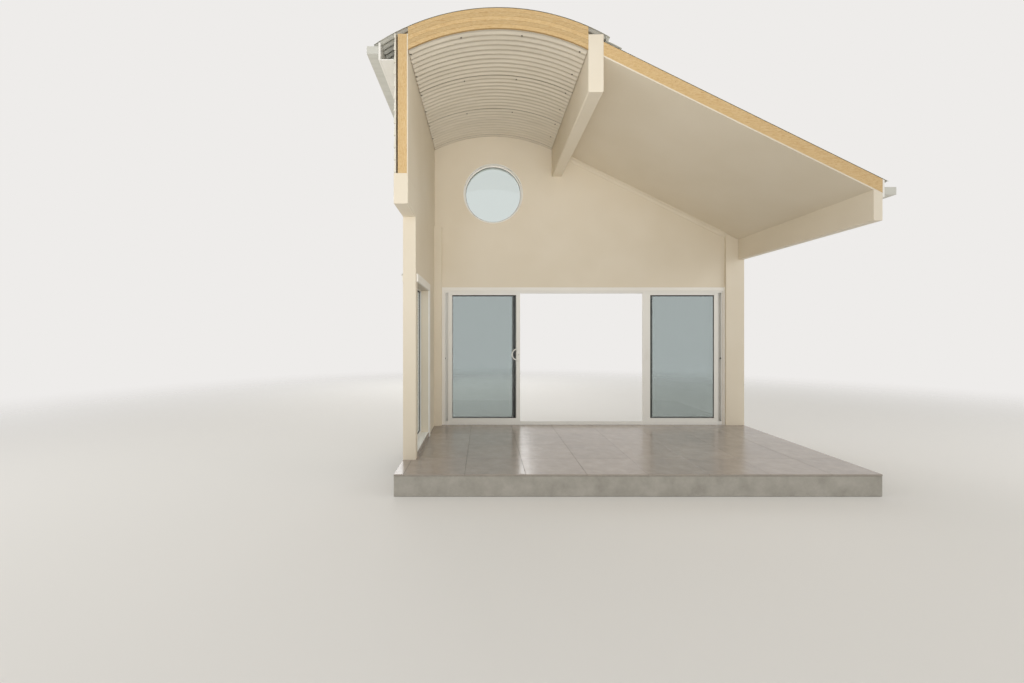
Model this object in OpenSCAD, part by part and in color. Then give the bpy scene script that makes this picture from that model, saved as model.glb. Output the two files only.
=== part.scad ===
// Vaulted sea-end bay of a beach house: gable window wall with sliding doors and a round
// window, the return wall with its side window, the corrugated vault, the raked roof, the
// beams and the floor. Millimetres, +Z up, +Y towards the sea.
// The modules work in the bay's own frame: x from the return wall's inner face, y from the
// gable wall's inner face, z from the finished floor. place() moves that to the part's
// origin, the middle of the slab's underside.

/* [Bay] */
// Clear width from the return wall's inner face to the eaves beam's outer face
bay_w = 4675; // [4300:25:5400]
// Length of the return wall, from the gable wall's inner face to its free end
return_len = 1850; // [1500:10:2200]
// Height of the door and side window heads above the floor
head_h = 2030; // [1950:10:2300]
// Thickness of the floor slab
slab_t = 200; // [120:10:300]
// Thickness of the floor tiles with their bed
tile_t = 20; // [12:1:40]

/* [Walls] */
// Thickness of the inner lining board
lining_t = 10; // [8:1:16]
// Depth of the framed core of a wall
core_t = 90; // [70:5:140]
// Depth of the outer boards with their battens
clad_t = 40; // [25:5:60]
// Width of the boxed post in the corner beside the doors
corner_post_w = 115; // [90:5:180]
// How far that post stands out from the gable wall
corner_post_d = 90; // [60:5:150]
// Height of that post
corner_post_h = 2990; // [2500:10:3300]
// Width of the boxed post at the other end of the doors
end_post_w = 275; // [200:5:350]
// How far that post stands out from the gable wall
end_post_d = 40; // [20:5:90]
// Length along the wall of the post at the return wall's free end
free_post_d = 110; // [90:5:160]
// Width of the wall between the side window and the corner
side_pier = 760; // [250:10:900]
// Height of the side window's head in the wall
side_head = 1975; // [1900:5:2200]
// Height of the tiled kerb under the side window
kerb_h = 55; // [30:5:150]
// Thickness of the side window's reveal boards and sill
reveal_t = 18; // [12:1:25]
// Width of the side window's architrave
architrave_w = 90; // [50:5:120]
// How far that architrave stands out from the wall
architrave_t = 18; // [10:1:22]

/* [Vault] */
// Clear span of the vault, from the return wall to the vault beam
vault_w = 1778; // [1500:2:2100]
// Height of the vault's springing above the floor
vault_spring = 4165; // [4000:5:4400]
// Rise of the vault above its springing
vault_rise = 210; // [170:5:300]
// Depth of the vault's roof, from the lining to the roof sheets
vault_depth = 220; // [190:5:280]
// Cover width of one corrugated sheet
sheet_cover = 762; // [610:1:914]
// Number of sheets along the bay
sheet_n = 4; // [3:1:6]
// Side lap of one sheet over the next
sheet_lap = 80; // [60:1:110]
// Pitch of the corrugations
corr_pitch = 76.2; // [60:0.1:100]
// Depth of the corrugations
corr_depth = 16; // [12:1:20]
// Thickness of a corrugated sheet
sheet_t = 2; // [1.5:0.1:3]
// Distance of the first purlin over the vault from the return wall
purlin_first = 520; // [300:4:700]
// Distance from that purlin to the next
purlin_pitch = 608; // [400:4:700]
// How far the roof overhangs the gable wall
verge_over = 559; // [300:1:800]
// How far the vault's eave overhangs the return wall
eave_over = 150; // [100:5:300]

/* [Raked roof] */
// Pitch of the raked ceiling and roof, in degrees
rake_pitch = 26.2; // [22:0.1:28]
// How far under the vault's springing the raked ceiling meets the vault beam
rake_drop = 53; // [20:1:110]
// Thickness of the raked ceiling's lining
ceiling_t = 13; // [10:1:20]
// Depth of the rafters, square to the roof
rafter_d = 120; // [90:5:130]
// Width of the rafters and the purlins
rafter_w = 45; // [35:5:60]
// Number of rafters
rafter_n = 5; // [3:1:8]

/* [Beams] */
// Width of the boxed vault beam
vault_beam_w = 150; // [90:5:200]
// How far its underside lies below the vault's springing
vault_beam_drop = 400; // [280:5:500]
// Radius of its rounded lower edges
vault_beam_round = 16; // [6:1:30]
// Width of the eaves beam
eaves_beam_w = 88; // [60:1:140]
// Depth of the eaves beam at its outer face, up to the raked ceiling
eaves_beam_h = 260; // [180:5:320]
// Height of the side beam's underside above the floor
side_beam_bottom = 2668; // [2560:1:2800]
// Depth of the side beam
side_beam_h = 300; // [200:10:400]

/* [Round window] */
// Radius of the round opening in the lining
porthole_r = 452; // [350:2:480]
// How far its centre lies below the vault's springing
porthole_drop = 658; // [560:1:900]

/* [Doors] */
// Thickness of a door panel
panel_t = 40; // [36:1:46]
// Gap between the sliding and the fixed panels
panel_gap = 16; // [14:1:24]
// Width of a sliding panel's closing stile
lock_stile = 60; // [54:1:90]
// Width of the other stiles
stile = 63; // [54:1:70]
// Width of a fixed panel's interlocking stile
interlock_stile = 52; // [50:1:60]
// Height of the glass above the floor
bottom_rail_top = 98; // [85:1:140]
// How far the glass stops below the top of the door frame
top_sight = 62; // [60:1:90]
// Thickness of the glass
glass_t = 6; // [5:1:8]
// How much wider a fixed panel is than a quarter of the doors
fixed_more = 25; // [0:1:40]
// How far a fixed and a sliding panel lap when the doors are shut
panel_lap = 100; // [60:1:104]
// Width of the meeting post on the right sliding panel
astragal_w = 50; // [25:1:60]
// Gap left between a sliding panel and the jamb as the doors stand open
rest_gap = 52; // [30:1:200]
// Height of the sill's upstand on the room's side
sill_front = 52; // [24:1:60]
// Height of the door handle's middle above the floor
handle_z = 1066; // [900:1:1150]
// Height of the door handle
handle_h = 188; // [150:1:220]

/* [Hidden] */

wall_t = lining_t + core_t + clad_t;
floor_z = -tile_t;
bay_d = sheet_n * sheet_cover - verge_over - wall_t;
cut_y = -bay_d;
verge_y = wall_t + verge_over;
core_y0 = lining_t;
core_y1 = lining_t + core_t;
left_x = -wall_t;

vault_cx = vault_w / 2;
vault_beam_bottom = vault_spring - vault_beam_drop;
rake_top = vault_spring - rake_drop;
porthole_z = vault_spring - porthole_drop;
vault_r = (vault_cx * vault_cx + vault_rise * vault_rise) / (2 * vault_rise);
vault_cz = vault_spring + vault_rise - vault_r;
roof_r = vault_r + vault_depth;
lap_step = sheet_t + 0.4;
wave_step = corr_pitch / 8;
sheet_edge_gap = 0.4;
wall_top = vault_cz + sqrt(roof_r * roof_r - pow(vault_cx + wall_t, 2)) - 0.5;

beam_x0 = vault_w;
beam_x1 = vault_w + vault_beam_w;
vault_right_x = beam_x1 + 60;
beam_top = vault_cz + sqrt(roof_r * roof_r - pow(beam_x1 - vault_cx, 2)) - 0.5;

eaves_x0 = bay_w - eaves_beam_w;
rake_tan = tan(rake_pitch);
rake_cos = cos(rake_pitch);
eaves_beam_bottom = rake_top - (bay_w - beam_x1) * rake_tan - eaves_beam_h;
rake_roof_h = ceiling_t + rafter_d;
board_t = 20;
soffit_t = 9;
soffit_z = vault_spring - 85;
gutter_drip = 40;

door_fit = 25;
door_x0 = corner_post_w + door_fit;
door_x1 = bay_w - end_post_w - door_fit;
door_cx = (door_x0 + door_x1) / 2;
frame_y0 = 4;
lip_t = 4.5;
run_gap = 5.5;
slider_y0 = frame_y0 + lip_t + run_gap;
fixed_y0 = slider_y0 + panel_t + panel_gap;
frame_y1 = fixed_y0 + panel_t + run_gap + lip_t;
jamb_t = 12;
jamb_lip = 22;
jamb_in = door_x0 + jamb_t;
head_t = 12;
head_lip = 16;
head_in = head_h - head_t;
sill_base = 8;
sill_lip = 20;
rail_w = 6;
rail_top = 24;
panel_z0 = 13;
panel_z1 = head_in - 5;
glass_z1 = head_h - top_sight;
pocket_d = 12;
pocket_w = glass_t + 1;
glass_in = pocket_d - 0.3;

meet_gap = 5;
fixed_w = (door_x1 - door_x0) / 4 + fixed_more;
slider_w = door_cx - (astragal_w + meet_gap) / 2 - (jamb_in + fixed_w - panel_lap);
slider_x0 = jamb_in + rest_gap;
fin_t = 3;
fin_d = 10;
fin_in = 45;
slider_fin = panel_lap - fin_in - meet_gap - fin_t;
roller_r = 11;
roller_w = 6;
groove_w = 20;
groove_top = 48;
roller_z = rail_top + 0.3 + roller_r;

side_y0 = -return_len + free_post_d;
side_y1 = -side_pier;
side_frame_w = 32;
side_frame_t = 44;
side_frame_x0 = left_x + 4;
side_frame_x1 = side_frame_x0 + side_frame_t;
architrave_quirk = 5;
architrave_y = side_y1 - reveal_t + architrave_quirk;
tile_face = 10;
gutter_w = 115;
gutter_h = 75;
gutter_t = 2.5;
gutter_fall = 12;
cornice_w = 52;
seat = 0.3;

paint = "#efe6d6";
white = "#f4f3ef";
roof_colour = "#cfd1cc";
board_colour = "#d9d4c6";
glass_colour = [0.72, 0.82, 0.86, 0.35];
metal = "#c9ccce";
round_fn = 96;
vault_fn = 240;

// Height of the raked ceiling's underside at x
function rake_z(x) = rake_top - (x - beam_x1) * rake_tan;
// Height of the corrugation at s, lowest where s is 0
function wave(s) = corr_depth / 2 * (1 - cos(360 * s / corr_pitch));
// The same on straight chords between grid points, so that laps nest wherever a sheet ends
function wave_chord(s) =
    let (i = floor(s / wave_step), t = s / wave_step - i)
    wave(i * wave_step) * (1 - t) + wave((i + 1) * wave_step) * t;
// Points along a corrugated strip from a to b, on one grid
function wave_points(a, b) = concat(
    [a], [for (i = [floor(a / wave_step) + 1:ceil(b / wave_step) - 1]) i * wave_step], [b]
);
// Outline of a corrugated strip between a and b, raised by up
function wave_strip(a, b, up) =
    let (p = wave_points(a, b), n = len(p) - 1)
    concat(
        [for (i = [0:n]) [p[i], wave_chord(p[i]) + up]],
        [for (i = [n:-1:0]) [p[i], wave_chord(p[i]) + up + sheet_t]]
    );
// Height of the vault's roof sheets at a distance out from its fascia's outer face
function vault_eave_z(out) =
    vault_cz + sqrt(roof_r * roof_r - pow(vault_cx - left_x + eave_over + out, 2));
// Every second sheet, counted from the room's side, lies over its neighbours and laps them
function sheet_over(i) = i % 2 == 1;
function sheet_up(i) = sheet_over(i) ? lap_step : 0;
function sheet_y0(i) = cut_y + i * sheet_cover - (sheet_over(i) ? sheet_lap : 0);
function sheet_y1(i) =
    cut_y + (i + 1) * sheet_cover + (sheet_over(i) && i < sheet_n - 1 ? sheet_lap : 0);

// Moves the bay's frame to the part's origin
module place() {
    translate([-(bay_w + left_x) / 2, (bay_d - wall_t) / 2, slab_t + tile_t]) children();
}
// Extrudes an outline drawn in x and z from y0 to y1
module along_y(y0, y1) {
    translate([0, y1, 0]) rotate([90, 0, 0]) linear_extrude(y1 - y0) children();
}
// Extrudes an outline drawn in y and z from x0 to x1
module along_x(x0, x1) {
    translate([x0, 0, 0]) rotate([90, 0, 90]) linear_extrude(x1 - x0) children();
}
// Extrudes an outline drawn in x and y from z0 to z1
module upright(z0, z1) {
    translate([0, 0, z0]) linear_extrude(z1 - z0) children();
}
module span(x0, x1, y0, y1) {
    translate([x0, y0]) square([x1 - x0, y1 - y0]);
}
module block(x0, x1, y0, y1, z0, z1) {
    translate([x0, y0, z0]) cube([x1 - x0, y1 - y0, z1 - z0]);
}
// Copies a piece of the left door leaf to the right leaf
module mirror_door() {
    translate([2 * door_cx, 0, 0]) mirror([1, 0, 0]) children();
}
module vault_circle(r) {
    translate([vault_cx, vault_cz]) circle(r, $fn = vault_fn);
}
module vault_ring(r0, r1) {
    difference() {
        vault_circle(r1);
        vault_circle(r0);
    }
}
// Band of the raked roof with plumb ends, between two depths square to the ceiling
module rake_band(x0, x1, d0, d1) {
    polygon([
        [x0, rake_z(x0) + d0 / rake_cos], [x1, rake_z(x1) + d0 / rake_cos],
        [x1, rake_z(x1) + d1 / rake_cos], [x0, rake_z(x0) + d1 / rake_cos],
    ]);
}

module floor_slab() {
    color("#b9b4aa") block(left_x, bay_w, cut_y, wall_t, floor_z - slab_t, floor_z);
}
module floor_tiles() {
    color("#b3aca1")
    union() {
        block(0, bay_w, cut_y, 0, floor_z, 0);
        block(left_x, 1, cut_y, -return_len, floor_z, 0);
    }
}

// Outline of the gable wall over the doors, from x0, with the pockets of the two beams
module gable_outline(x0, z0) {
    difference() {
        union() {
            if (x0 < 0) span(x0, 0, z0, wall_top);
            intersection() {
                span(max(x0, -1), beam_x0, z0, vault_spring + vault_rise + 10);
                vault_circle(vault_r - 0.3);
            }
            polygon([
                [beam_x0 - 90, z0], [bay_w, z0], [bay_w, rake_z(bay_w)],
                [beam_x1, rake_z(beam_x1)], [beam_x0 - 1, rake_z(beam_x1)],
                [beam_x0 - 1, vault_beam_bottom], [beam_x0 - 90, vault_beam_bottom],
            ]);
        }
        span(beam_x0, beam_x1, vault_beam_bottom, vault_spring + 400);
        span(eaves_x0, bay_w + 1, eaves_beam_bottom, vault_spring);
    }
}
module porthole_hole(y0, y1) {
    translate([vault_cx, y1 + 1, porthole_z]) rotate([90, 0, 0])
        cylinder(r = porthole_r, h = y1 - y0 + 2, $fn = round_fn);
}
module gable_lining() {
    color(paint)
    difference() {
        along_y(0, lining_t) gable_outline(0, head_h);
        porthole_hole(0, lining_t);
    }
}
module gable_core_over_doors() {
    color("#c8b48c")
    difference() {
        along_y(core_y0, core_y1) gable_outline(-core_t - lining_t, head_h);
        porthole_hole(core_y0, core_y1);
    }
}
module gable_core_piers() {
    color("#c8b48c") {
        block(-core_t - lining_t, door_x0, core_y0, core_y1, floor_z, head_h);
        block(0, door_x0, 0, core_y0 + 1, floor_z, head_h);
        block(door_x1, bay_w, 0, core_y1, floor_z, head_h);
    }
}
module gable_cladding_over_doors() {
    color(board_colour)
    difference() {
        along_y(core_y1, wall_t) gable_outline(left_x, head_h);
        porthole_hole(core_y1, wall_t);
    }
}
module gable_cladding_piers() {
    color(board_colour) {
        block(left_x, door_x0, core_y1, wall_t, floor_z, head_h);
        block(door_x1, bay_w, core_y1, wall_t, floor_z, head_h);
    }
}
module corner_post() {
    color(paint) block(0, corner_post_w, -corner_post_d, 0, 0, corner_post_h);
}
// The end post rises to the raked ceiling, with a shoulder under the eaves beam
module end_post() {
    color(paint)
    along_y(-end_post_d, 0) polygon([
        [bay_w - end_post_w, 0], [bay_w, 0], [bay_w, eaves_beam_bottom],
        [eaves_x0, eaves_beam_bottom], [eaves_x0, rake_z(eaves_x0) - seat],
        [bay_w - end_post_w, rake_z(bay_w - end_post_w) - seat],
    ]);
}

// Outline of the return wall in y and z, over the side window and beside it
module return_outline(y1) {
    polygon([
        [side_y1, floor_z], [y1, floor_z], [y1, wall_top], [cut_y, wall_top],
        [cut_y, side_beam_bottom + side_beam_h], [side_y0, side_beam_bottom + side_beam_h],
        [side_y0, side_head], [side_y1, side_head],
    ]);
}
module return_lining() {
    color(paint) along_x(-lining_t, 0) return_outline(lining_t);
}
module return_core() {
    color("#c8b48c") along_x(-lining_t - core_t, -lining_t) return_outline(core_y0);
}
module return_cladding() {
    color(board_colour) along_x(left_x, left_x + clad_t) return_outline(core_y1);
}
module free_post() {
    color(paint) block(left_x, 0, -return_len, side_y0, floor_z, side_beam_bottom);
}
module side_beam() {
    color(paint)
    block(left_x, 0, cut_y, side_y0, side_beam_bottom, side_beam_bottom + side_beam_h);
}
// The vault beam and the eaves beam run through the wall to the barge boards
module vault_beam() {
    r = vault_beam_round;
    color(paint)
    along_y(cut_y, verge_y) {
        span(beam_x0, beam_x1, vault_beam_bottom + r, beam_top);
        span(beam_x0 + r, beam_x1 - r, vault_beam_bottom, vault_beam_bottom + r + 1);
        for (x = [beam_x0 + r, beam_x1 - r])
            translate([x, vault_beam_bottom + r]) circle(r, $fn = 48);
    }
}
module eaves_beam() {
    color(paint)
    along_y(cut_y, verge_y) polygon([
        [eaves_x0, eaves_beam_bottom], [bay_w, eaves_beam_bottom],
        [bay_w, rake_z(bay_w) + ceiling_t / rake_cos],
        [eaves_x0, rake_z(eaves_x0) + ceiling_t / rake_cos],
    ]);
}

// A straight length of window frame with its glazing pocket, drawn across the length
module pocket_section(w, t) {
    difference() {
        square([w, t]);
        translate([w - pocket_d, (t - pocket_w) / 2]) square([pocket_d + 1, pocket_w]);
    }
}
// A block over the side window's clear opening, grown by grow on every side
module side_window_block(x0, x1, grow) {
    inset = side_frame_w - grow;
    block(x0, x1, side_y0 + inset, side_y1 - inset, kerb_h + inset, side_head - inset);
}
module side_window_frame() {
    mid = (side_frame_x0 + side_frame_x1) / 2;
    color(white)
    difference() {
        block(side_frame_x0, side_frame_x1, side_y0, side_y1, kerb_h, side_head);
        side_window_block(side_frame_x0 - 1, side_frame_x1 + 1, 0);
        side_window_block(mid - pocket_w / 2, mid + pocket_w / 2, pocket_d);
    }
}
module side_window_glass() {
    mid = (side_frame_x0 + side_frame_x1) / 2;
    color(glass_colour) side_window_block(mid - glass_t / 2, mid + glass_t / 2, glass_in);
}
// Boards that line the opening from the frame to the room, with the sill at the foot
module side_window_reveal() {
    color(white)
    difference() {
        block(side_frame_x1, 0, side_y0, side_y1, kerb_h, side_head);
        block(side_frame_x1 - 1, 1, side_y0 + reveal_t, side_y1 - reveal_t,
            kerb_h + reveal_t / 2, side_head - reveal_t);
    }
}
// Architrave over the window and down its side towards the corner
module side_window_architrave() {
    y0 = side_y0 - free_post_d / 2;
    y1 = architrave_y + architrave_w;
    z0 = side_head - reveal_t + architrave_quirk;
    z1 = z0 + architrave_w;
    color(white)
    along_x(0, architrave_t) polygon([
        [y1, 0], [architrave_y, 0], [architrave_y, z0], [y0, z0], [y0, z1], [y1, z1],
    ]);
}
// Kerb across the foot of the window, with its facing of floor tile
module side_window_kerb() {
    color("#b3aca1") {
        block(left_x, 0, side_y0, side_y1, floor_z, kerb_h);
        block(-1, tile_face, side_y0, architrave_y, 0, kerb_h);
    }
}

// A ring about the round window's axis, from an outline in radius and depth
module porthole_turn() {
    translate([vault_cx, 0, porthole_z]) rotate([90, 0, 0])
        rotate_extrude($fn = round_fn) children();
}
module porthole_reveal() {
    color(white)
    porthole_turn() span(porthole_r - 10, porthole_r - 0.3, -core_y1, 6);
}
module porthole_frame() {
    r = porthole_r - 10;
    mid = -(core_y1 - 30);
    color(white)
    porthole_turn() difference() {
        union() {
            span(r - 22, r, mid - pocket_w / 2 - 10, mid + pocket_w / 2 + 10);
            span(r - 22, r + 38, -wall_t - 8, -wall_t);
            span(r - 22, r, -wall_t - 1, mid);
        }
        span(r - 23, r - 22 + pocket_d, mid - pocket_w / 2, mid + pocket_w / 2);
    }
}
module porthole_glass() {
    r = porthole_r - 10 - 22 + glass_in;
    color(glass_colour)
    translate([vault_cx, core_y1 - 30 + glass_t / 2, porthole_z]) rotate([90, 0, 0])
        cylinder(r = r, h = glass_t, $fn = round_fn);
}

// A curved corrugated sheet about the vault's axis, at radius r, from angle a0 to a1
// measured from the vertical, positive towards +X
module curved_sheet(r, y0, y1, a0, a1, up) {
    translate([vault_cx, 0, vault_cz]) rotate([90, 0, 0]) rotate([0, 0, 90 - a1])
        rotate_extrude(angle = a1 - a0, $fn = vault_fn)
            polygon([for (p = wave_strip(y0, y1, up)) [r + p[1], -p[0]]]);
}
module vault_lining(i) {
    a = asin((vault_cx - sheet_edge_gap) / (vault_r + corr_depth + sheet_t + lap_step));
    color("#e6e2d8")
    curved_sheet(vault_r, sheet_y0(i), sheet_y1(i), -a, a, sheet_up(i));
}
module vault_lining_1() {
    vault_lining(0);
}
module vault_lining_2() {
    vault_lining(1);
}
module vault_lining_3() {
    vault_lining(2);
}
module vault_lining_4() {
    vault_lining(3);
}
// Two purlins over the span, one along the wall and a double one along the beam
module vault_purlins() {
    gap = corr_depth + sheet_t + lap_step + 0.3;
    color("#c8b48c")
    along_y(cut_y + rafter_w, verge_y) intersection() {
        vault_ring(vault_r + gap, roof_r - 0.5);
        union() {
            for (x = [purlin_first, purlin_first + purlin_pitch])
                span(x - rafter_w / 2, x + rafter_w / 2, vault_spring, vault_cz + roof_r);
            span(0.3, rafter_w, vault_spring - 50, vault_cz + roof_r);
            span(beam_x0 - 2 * rafter_w, beam_x0 - 0.3, vault_spring - 50, vault_cz + roof_r);
        }
    }
}
module vault_roof_sheets() {
    a0 = -asin((vault_cx + wall_t + eave_over + gutter_drip) / roof_r);
    a1 = asin((vault_right_x - vault_cx) / roof_r);
    color(roof_colour)
    for (i = [0:sheet_n - 1])
        curved_sheet(roof_r, sheet_y0(i), sheet_y1(i), a0, a1, sheet_up(i));
}
module vault_barge() {
    color(white)
    along_y(verge_y, verge_y + board_t) intersection() {
        vault_ring(vault_r - 20, roof_r + corr_depth + 15);
        span(left_x - eave_over, beam_x1, vault_spring - 300, vault_spring + 600);
    }
}
module vault_end_rib() {
    gap = corr_depth + sheet_t + lap_step + 0.3;
    color("#c8b48c")
    along_y(cut_y, cut_y + rafter_w) intersection() {
        vault_ring(vault_r + gap, roof_r - 0.5);
        span(0, beam_x0, vault_spring - 50, vault_cz + roof_r);
    }
}
// Stands under the roof sheets' edge, clear of them by half a millimetre
module vault_fascia() {
    x0 = left_x - eave_over;
    color(white) block(x0, x0 + board_t, cut_y, verge_y, soffit_z, vault_eave_z(0) - 0.5);
}
// Boards under the eave, with a return board up to the roof past the gable wall
module vault_soffit() {
    top = vault_cz + sqrt(roof_r * roof_r - pow(vault_cx + board_t, 2)) - 0.5;
    color(white) union() {
        block(left_x - eave_over + board_t, left_x, cut_y, verge_y, soffit_z, soffit_z + soffit_t);
        block(left_x - 1, 0, wall_t, verge_y, soffit_z, soffit_z + soffit_t);
        block(-board_t, 0, wall_t, verge_y, soffit_z, top);
    }
}

module rake_lining() {
    color(paint) along_y(cut_y, 0) rake_band(beam_x1, eaves_x0, 0, ceiling_t);
}
module rake_rafters() {
    step = (verge_y - cut_y - rafter_w) / (rafter_n - 1);
    color("#c8b48c")
    for (i = [0:rafter_n - 1])
        along_y(cut_y + i * step, cut_y + i * step + rafter_w)
            rake_band(beam_x1, bay_w, ceiling_t, rake_roof_h);
}
module rake_roof_sheets() {
    len = (bay_w + board_t + gutter_drip - beam_x1 - 8) / rake_cos;
    color(roof_colour)
    translate([beam_x1 + 8, 0, rake_z(beam_x1 + 8) + rake_roof_h / rake_cos])
        rotate([0, rake_pitch, 0])
            for (i = [0:sheet_n - 1])
                along_x(0, len)
                    polygon(wave_strip(sheet_y0(i), sheet_y1(i), sheet_up(i) + 0.5));
}
module rake_barge() {
    color(white)
    along_y(verge_y, verge_y + board_t)
        rake_band(beam_x1, bay_w + board_t, -20, rake_roof_h + corr_depth + 15);
}
module rake_fascia() {
    color(white)
    along_y(cut_y, verge_y) polygon([
        [bay_w, rake_z(bay_w) - 30], [bay_w + board_t, rake_z(bay_w) - 30],
        [bay_w + board_t, rake_z(bay_w + board_t) + rake_roof_h / rake_cos],
        [bay_w, rake_z(bay_w) + rake_roof_h / rake_cos],
    ]);
}
module rake_soffit() {
    color(white)
    along_y(wall_t, verge_y) rake_band(beam_x1, eaves_x0, 0, soffit_t);
}
// Cove moulding along the junction of the gable wall and the raked ceiling
module rake_cornice() {
    w = cornice_w;
    x0 = beam_x1;
    x1 = bay_w - end_post_w;
    len = (x1 - x0) / rake_cos + 2 * w;
    color(paint)
    intersection() {
        block(x0, x1, -w - 1, 1, rake_z(x1) - 2 * w, rake_z(x0) + w);
        translate([x0, 0, rake_z(x0)]) rotate([0, rake_pitch, 0]) translate([-w, 0, -seat])
            rotate([90, 0, 90]) linear_extrude(len) difference() {
                polygon([[0, 0], [0, -w], [-6, -w], [-w, -6], [-w, 0]]);
                translate([-w - 4, -w - 4]) circle(w - 6, $fn = 64);
            }
    }
}
// Box gutter hung on a fascia, from its back face at x, on the side given by dir
module gutter(x, dir, top) {
    y0 = cut_y;
    y1 = verge_y + board_t;
    bead_r = 7;
    outer = dir * gutter_w;
    translate([x, 0, top]) {
        difference() {
            block(min(0, outer), max(0, outer), y0, y1, -gutter_h, 0);
            block(min(0, outer) + gutter_t, max(0, outer) - gutter_t, y0 + gutter_t,
                y1 - gutter_t, gutter_t - gutter_h, 1);
        }
        translate([outer - dir * bead_r, y1, -bead_r]) rotate([90, 0, 0])
            cylinder(r = bead_r, h = y1 - y0, $fn = 32);
    }
}
module vault_gutter() {
    color(roof_colour)
    gutter(left_x - eave_over, -1, vault_eave_z(gutter_drip) - gutter_fall);
}
module rake_gutter() {
    x = bay_w + board_t;
    top = rake_z(x + gutter_w) + rake_roof_h / rake_cos;
    color(roof_colour) gutter(x, 1, top - gutter_fall);
}
// Covers the gap between the vault's roof sheets and the raked roof
module apron_flashing() {
    x = vault_right_x - 30;
    low = rake_z(x - 3) + (rake_roof_h + corr_depth + sheet_t + lap_step + 1) / rake_cos;
    high = vault_cz + sqrt(roof_r * roof_r - pow(x - vault_cx, 2)) - 4;
    color(roof_colour)
    along_y(cut_y, verge_y) polygon([
        [x, high], [x - 3, high], [x - 3, low],
        [x + 150, low - 153 * rake_tan], [x + 150, low - 153 * rake_tan + 3], [x, low + 3],
    ]);
}

// Head of the door frame: a plate with three lips that make the two tracks
module door_head() {
    color(white)
    along_x(jamb_in, 2 * door_cx - jamb_in) union() {
        span(frame_y0, frame_y1, head_in, head_h);
        door_lips(head_in - head_lip, head_in + 1, head_in + 1);
    }
}
// The three lips of the frame from a to b, with the one on the room's side up to front
module door_lips(a, b, front) {
    mid = slider_y0 + panel_t + run_gap;
    span(frame_y0, frame_y0 + lip_t, a, front);
    span(mid, fixed_y0 - run_gap, a, b);
    span(frame_y1 - lip_t, frame_y1, a, b);
}
module door_sill() {
    color(white)
    along_x(jamb_in, 2 * door_cx - jamb_in) union() {
        span(frame_y0, frame_y1, floor_z, sill_base);
        door_lips(sill_base - 1, sill_lip, sill_front);
        for (y = [slider_y0, fixed_y0])
            span(y + (panel_t - rail_w) / 2, y + (panel_t + rail_w) / 2, sill_base - 1, rail_top);
    }
}
module door_jamb() {
    mid = slider_y0 + panel_t + run_gap;
    upright(floor_z, head_h) span(door_x0, jamb_in, frame_y0, frame_y1);
    upright(sill_front, head_in - head_lip) {
        span(jamb_in - 1, door_x0 + jamb_lip, frame_y0, frame_y0 + lip_t);
        span(jamb_in - 1, door_x0 + jamb_lip, mid, fixed_y0 - run_gap);
        span(jamb_in - 1, door_x0 + jamb_lip, frame_y1 - lip_t, frame_y1);
    }
}
module door_jambs() {
    color(white) {
        door_jamb();
        mirror_door() door_jamb();
    }
}
module door_bumper() {
    translate([jamb_in, slider_y0 + panel_t / 2, handle_z - 60]) rotate([0, 90, 0])
        cylinder(r = 9, h = 14, $fn = 32);
}
module door_bumpers() {
    color("#3a3a3a") {
        door_bumper();
        mirror_door() door_bumper();
    }
}
// Flat trim over the doors and down both sides
module door_trim() {
    x0 = corner_post_w;
    x1 = bay_w - end_post_w;
    top = head_h + 54;
    color(white)
    along_y(-board_t / 2, 0) polygon([
        [x0, 0], [door_x0, 0], [door_x0, head_h], [door_x1, head_h],
        [door_x1, 0], [x1, 0], [x1, top], [x0, top],
    ]);
}

// Stile and rail of a door panel: the glass pocket faces the panel's middle
module panel_stile(x, w, y0, z0, z1, flip) {
    upright(z0, z1) translate([x + (flip ? w : 0), y0]) mirror([flip ? 1 : 0, 0])
        pocket_section(w, panel_t);
}
module panel_rail(x0, x1, y0, z, h, flip) {
    along_x(x0, x1) translate([y0 + panel_t, z + (flip ? h : 0)]) rotate(90)
        mirror([flip ? 1 : 0, 0]) pocket_section(h, panel_t);
}
module fixed_panel_frame() {
    x1 = jamb_in + fixed_w;
    panel_stile(jamb_in, stile, fixed_y0, rail_top, head_in, false);
    panel_stile(x1 - interlock_stile, interlock_stile, fixed_y0, rail_top, head_in, true);
    // fin that the sliding panel's fin meets when the doors are shut
    block(x1 - fin_in, x1 - fin_in + fin_t, fixed_y0 - fin_d, fixed_y0 + 1,
        rail_top, head_in - head_lip - 4);
    panel_rail(jamb_in + stile, x1 - interlock_stile, fixed_y0, rail_top,
        bottom_rail_top - rail_top, false);
    panel_rail(jamb_in + stile, x1 - interlock_stile, fixed_y0, glass_z1,
        head_in - glass_z1, true);
}
module fixed_panel_frames() {
    color(white) {
        fixed_panel_frame();
        mirror_door() fixed_panel_frame();
    }
}
module fixed_glass() {
    x1 = jamb_in + fixed_w;
    block(jamb_in + stile - glass_in, x1 - interlock_stile + glass_in,
        fixed_y0 + (panel_t - glass_t) / 2, fixed_y0 + (panel_t + glass_t) / 2,
        bottom_rail_top - glass_in, glass_z1 + glass_in);
}
module fixed_panel_glass() {
    color(glass_colour) {
        fixed_glass();
        mirror_door() fixed_glass();
    }
}
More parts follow.
